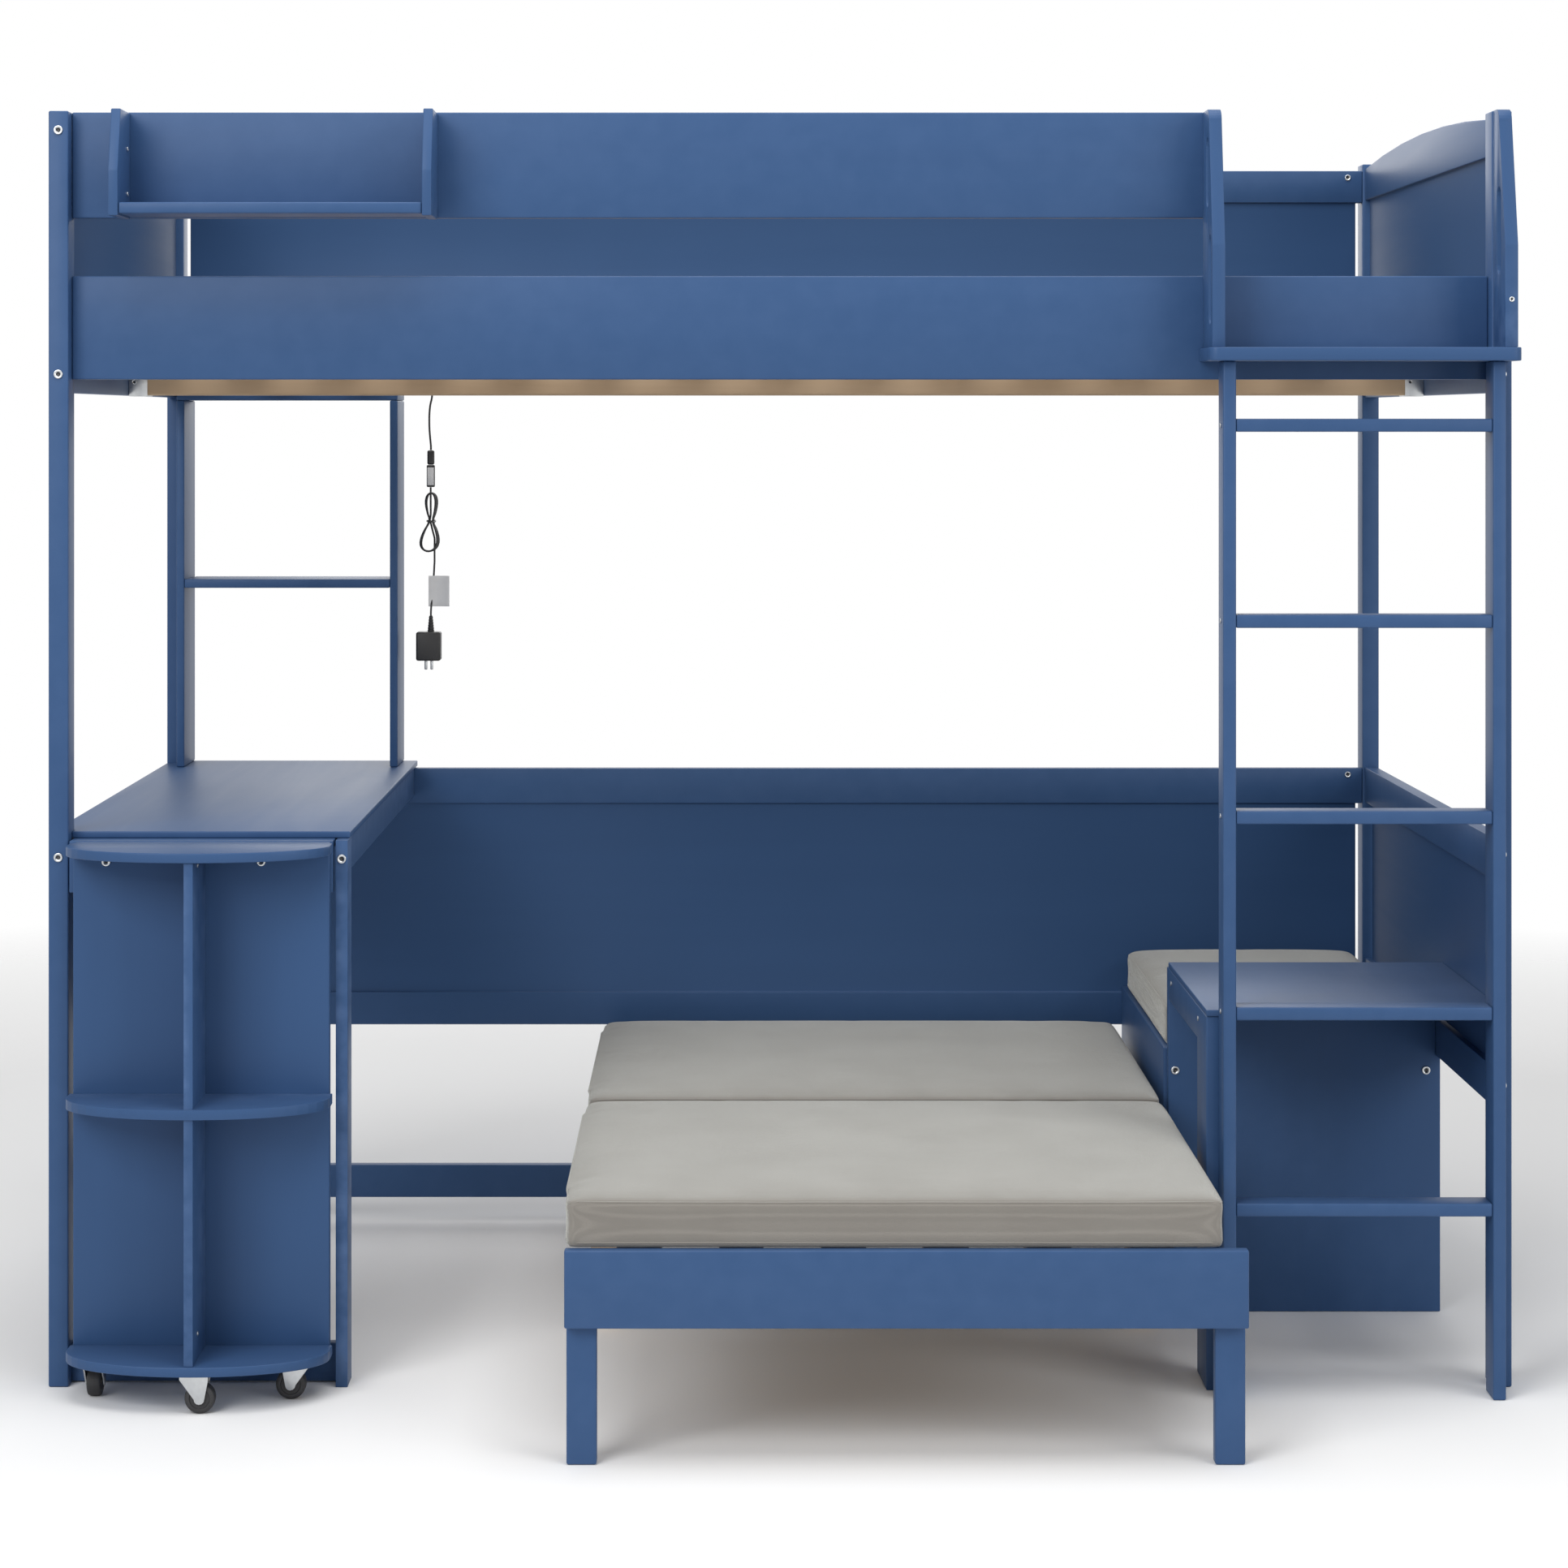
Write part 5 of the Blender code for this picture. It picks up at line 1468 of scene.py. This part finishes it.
@dataclass
class LightLead:
    """The light strip's lead: its cords, controller, hank with a tie, blank tag and adapter."""

    palette: Palette
    diameter: float = 0.0032
    gap: float = 0.0003
    route: tuple[tuple[float, float], ...] = (
        (0.0027, 0.0), (0.0027, -0.004), (0.0016, -0.020), (-0.0010, -0.032), (-0.0024, -0.046),
        (-0.0026, -0.060), (-0.0022, -0.074), (-0.0010, -0.088), (0.0, -0.099),
    )
    controller_top: float = 1.262
    controller_height: float = 0.060
    entry_points: int = 5
    waist_height: float = 1.146
    upper_reach: float = 0.046
    lower_reach: float = 0.049
    waist: float = 0.0026
    upper_half: float = 0.0050
    lower_half: float = 0.0110
    lower_shift: float = -0.0045
    growth: float = 0.0012
    pitch: float = 0.0042
    turns: int = 3
    points: int = 24
    entry_setback: float = 0.0040
    exit_setback: float = 0.0046
    end_height: float = 1.080
    exit_shift: float = 0.0045
    exit_points: int = 7
    exit_bend: int = 3
    relief_depth: float = 0.0255
    tail_shares: tuple[tuple[float, float], ...] = (
        (0.96, 0.06), (0.80, 0.25), (0.55, 0.45), (0.30, 0.65), (0.10, 0.82), (0, 0.94), (0, 1),
    )
    tie_points: int = 24
    tie_radius: float = 0.0012
    tie_half: float = 0.0068
    tie_depth: float = 0.0135
    tie_setback: float = 0.0062
    tie_wave: float = 0.0012
    tag_width: float = 0.034
    tag_low: float = 1.007
    tag_high: float = 1.057
    tag_shift: float = 0.004
    tag_setbacks: tuple[float, float] = (0.0020, 0.0026)
    tag_edge: float = 0.0002
    tag_cuts: int = 5
    tag_bulge: float = 0.004
    tag_lift: float = 0.0015
    x: float = field(init=False)
    y: float = field(init=False)

    def build(self) -> None:
        """Builds the lead from its upper end to the adapter."""
        low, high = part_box("led_controller")
        self.x = (low.x + high.x) / 2
        low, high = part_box("led_lead")
        self.y = (low.y + high.y) / 2
        self._upper_cord(high.z, Controller(self.palette).build())
        adapter = PowerAdapter(self.palette, self.x, self.y).build()
        self._power_cord([*adapter, self._tag(), self._tie()])

    def _lay(
        self, name: str, line: list[Point], steps: int, nodes: Sequence[str],
    ) -> None:
        """Args:
            name: the cord's name.
            line: its route's points, from its exit.
            steps: the finer points for each stretch.
            nodes: the CAD nodes that it stands for.
        """
        fine = rounded_route(line, steps)
        cord = tube(name, fine, self.diameter / 2)
        dress(cord, self.palette.plastic, Slot.PLASTIC, *nodes)

    def _upper_cord(self, top: float, pieces: list[bpy.types.Object]) -> None:
        """The cord between the slats' cleat and the controller.

        Args:
            top: the height of its upper end.
            pieces: not used.
        """
        line = [(self.x + x, self.y, top + z) for x, z in self.route]
        line.append((self.x, self.y, self.controller_top + self.gap))
        self._lay("led_upper_cord", line, 3, ("led_lead",))

    def _hank_place(self, step: int) -> tuple[float, float, float]:
        """The centre of the cord after that many steps of the hank's loops.

        Args:
            step: the number of points passed.

        Returns:
            The point.
        """
        quarter = self.points // 4
        turn = step / self.points
        part = step // quarter % 4
        along = step % quarter / quarter
        share = along if part in (0, 2) else 1 - along
        side = -1 if part in (0, 3) else 1
        lower = part in (0, 1)
        half = (self.lower_half if lower else self.upper_half) + self.growth * turn
        shift = self.lower_shift if lower else 0
        x = shift * sin(pi / 2 * share) + side * (self.waist * (1 - share) + half * sin(pi * share))
        reach = self.lower_reach if lower else -self.upper_reach
        z = self.waist_height - reach * sin(pi / 2 * share)
        late = max(0, step - self.points * self.turns + quarter) / quarter
        return (self.x + x, self.y + self.pitch * turn + self.exit_setback * late, z)

    def _power_cord(self, pieces: list[bpy.types.Object]) -> None:
        """The cord from the controller through the hank to the adapter.

        Args:
            pieces: not used.
        """
        top = self.controller_top - self.controller_height - self.gap
        drop = top - self.waist_height
        count = self.entry_points
        line = [(self.x, self.y - self.entry_setback, top - drop * i / count) for i in range(count)]
        line += [self._hank_place(step) for step in range(self.points * self.turns + 1)]
        last = line[-1]
        fall = last[2] - self.end_height
        for i in range(1, self.exit_points + 1):
            ease = min(1, i / self.exit_bend)
            x = last[0] + (self.x + self.exit_shift - last[0]) * ease
            line.append((x, last[1], last[2] - fall * i / self.exit_points))
        start = line[-1]
        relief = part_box("power_adapter")[1].z
        drop = start[2] - relief - self.gap
        for across, down in self.tail_shares:
            x = self.x + (start[0] - self.x) * across
            y = self.y + (start[1] - self.y) * across
            line.append((x, y, start[2] - drop * down))
        line.append((self.x, self.y, relief - self.relief_depth))
        self._lay("led_power_cord", line, 2, ("cord_hank", "led_tail"))

    def _tie(self) -> bpy.types.Object:
        """The tie round the hank's waist.

        Returns:
            The tie.
        """
        line = []
        for step in range(self.tie_points):
            turn = 2 * pi * step / self.tie_points
            line.append((
                self.x + self.tie_half * cos(turn),
                self.y + self.tie_setback + self.tie_depth * sin(turn),
                self.waist_height + self.tie_wave * sin(turn * 2),
            ))
        tie = tube("hank_tie", line, self.tie_radius, closed=True, sides=2)
        return dress(tie, self.palette.plastic, Slot.PLASTIC)

    def _tag(self) -> bpy.types.Object:
        """A blank card tag beside the cord.

        Returns:
            The tag.
        """
        front, back = self.tag_setbacks
        start = self.x - self.tag_shift
        tag = box_block(
            "lead_tag", (start, self.y + front, self.tag_low),
            (start + self.tag_width, self.y + back, self.tag_high), self.tag_edge, 2,
        )
        only(tag)
        bpy.ops.object.mode_set(mode="EDIT")
        bpy.ops.mesh.select_all(action="SELECT")
        bpy.ops.mesh.subdivide(number_cuts=self.tag_cuts)
        bpy.ops.object.mode_set(mode="OBJECT")
        for vertex in tag.data.vertices:
            out = (vertex.co.x - start) / self.tag_width
            vertex.co.y += self.tag_bulge * sin(pi * out) - self.tag_lift
        smooth(tag)
        return dress(tag, self.palette.card, Slot.PLASTIC)


@dataclass(frozen=True)
class Lamp:
    """A large soft lamp, aimed at a point."""

    name: str
    place: Point
    target: Point
    size: float
    power: float

    def build(self) -> None:
        """Adds the lamp to the scene."""
        data = bpy.data.lights.new(self.name, "AREA")
        data.size = self.size
        data.energy = self.power
        lamp = bpy.data.objects.new(self.name, data)
        lamp.location = self.place
        aim = Vector(self.target) - Vector(self.place)
        lamp.rotation_euler = aim.to_track_quat("-Z", "Y").to_euler()
        bpy.context.scene.collection.objects.link(lamp)


@dataclass
class Studio:
    """The camera, the soft lamps, the floor and the white surroundings."""

    camera_place: tuple[float, float, float] = (-0.0564, -5.1485, 1.308)
    lens: float = 81.56
    sensor: float = 36.0
    shift: tuple[float, float] = (0.0290, -0.2308)
    lamps: tuple[Lamp, ...] = (
        Lamp("Key", (-2.6, -4.2, 3.4), (0.0, 0.0, 0.8), size=2.6, power=128.0),
        Lamp("Fill", (3.4, -3.4, 2.2), (0.0, 0.0, 0.8), size=2.6, power=56.0),
        Lamp("Top", (0.0, -0.9, 4.2), (0.0, -0.2, 0.0), size=3.0, power=98.0),
        Lamp("Back", (0.0, 3.6, 2.6), (0.0, 0.0, 0.9), size=2.4, power=25.0),
    )
    floor_radius: float = 4.5
    floor_sides: int = 96
    floor_drop: float = 0.0004
    floor_fade: float = 0.45
    floor_colour: tuple[float, float, float, float] = (0.93, 0.93, 0.93, 1)
    floor_roughness: float = 0.9
    seen_strength: float = 1.0
    light_strength: float = 0.37

    def build(self) -> None:
        """Builds the studio."""
        self._camera()
        for lamp in self.lamps:
            lamp.build()
        self._floor()
        self._world()
        bpy.context.scene.view_settings.view_transform = "Standard"

    def _camera(self) -> None:
        """The camera at the photograph's viewing place."""
        data = bpy.data.cameras.new("Camera")
        data.lens = self.lens
        data.sensor_width = self.sensor
        data.shift_x, data.shift_y = self.shift
        camera = bpy.data.objects.new("Camera", data)
        camera.location = self.camera_place
        camera.rotation_euler = (pi / 2, 0, 0)
        bpy.context.scene.collection.objects.link(camera)
        bpy.context.scene.camera = camera

    def _floor(self) -> None:
        """A pale round floor that fades out to the white surroundings."""
        bpy.ops.object.select_all(action="DESELECT")
        bpy.ops.mesh.primitive_circle_add(
            vertices=self.floor_sides, radius=self.floor_radius, fill_type="NGON"
        )
        floor = bpy.context.active_object
        floor.name = "Floor"
        floor.location.z = -self.floor_drop
        made, tree, shader = start_material("Pale floor")
        place = tree.add("ShaderNodeTexCoord")
        mapping = tree.add("ShaderNodeMapping", None, {"Scale": [1 / self.floor_radius] * 3})
        fade = tree.add("ShaderNodeTexGradient", {"gradient_type": "SPHERICAL"})
        edge = tree.add("ShaderNodeMapRange", None, {"From Min": 0.0, "From Max": self.floor_fade})
        tree.link(place.outputs["Object"], mapping.inputs["Vector"])
        tree.link(mapping.outputs["Vector"], fade.inputs["Vector"])
        tree.link(fade.outputs["Fac"], edge.inputs["Value"])
        tree.link(edge.outputs["Result"], shader.inputs["Alpha"])
        shader.inputs["Base Color"].default_value = self.floor_colour
        shader.inputs["Roughness"].default_value = self.floor_roughness
        floor.data.materials.append(made)

    def _world(self) -> None:
        """White to the camera and in gloss, and a soft light on the object."""
        world = bpy.data.worlds.new("Surroundings")
        bpy.context.scene.world = world
        world.use_nodes = True
        world.node_tree.nodes.clear()
        tree = ShaderTree(world.node_tree)
        white = (1, 1, 1, 1)
        seen = tree.add("ShaderNodeBackground", None, {"Color": white, "Strength": self.seen_strength})
        light = tree.add("ShaderNodeBackground", None, {"Color": white, "Strength": self.light_strength})
        path = tree.add("ShaderNodeLightPath")
        mixed = tree.add("ShaderNodeMixShader")
        out = tree.add("ShaderNodeOutputWorld")
        either = tree.add("ShaderNodeMath", {"operation": "MAXIMUM"})
        tree.link(path.outputs["Is Camera Ray"], either.inputs[0])
        tree.link(path.outputs["Is Glossy Ray"], either.inputs[1])
        tree.link(either.outputs[0], mixed.inputs[0])
        tree.link(light.outputs[0], mixed.inputs[1])
        tree.link(seen.outputs[0], mixed.inputs[2])
        tree.link(mixed.outputs[0], out.inputs[0])


def main() -> None:
    """Builds the bed's looks in order."""
    logging.basicConfig(level=logging.INFO)
    palette = Palette()
    steps = (
        ("studio", Studio()),
        ("light lead", LightLead(palette)),
        ("boards", Boards(palette)),
        ("loft base", LoftBase(palette)),
        ("rolling shelves", Cart(palette)),
        ("lower bed", LowerBed(palette)),
        ("front cushion", Cushion(palette, "front_cushion", "front_velvet_cushion", squashed=0.55)),
        ("rear cushion", Cushion(palette, "rear_cushion", "rear_velvet_cushion")),
        ("bench cushion", Cushion(palette, "bench_cushion", "bench_velvet_cushion")),
        ("hardware", Hardware(palette)),
    )
    for title, step in steps:
        step.build()
        LOG.info("built the %s", title)


if __name__ == "__main__":
    main()
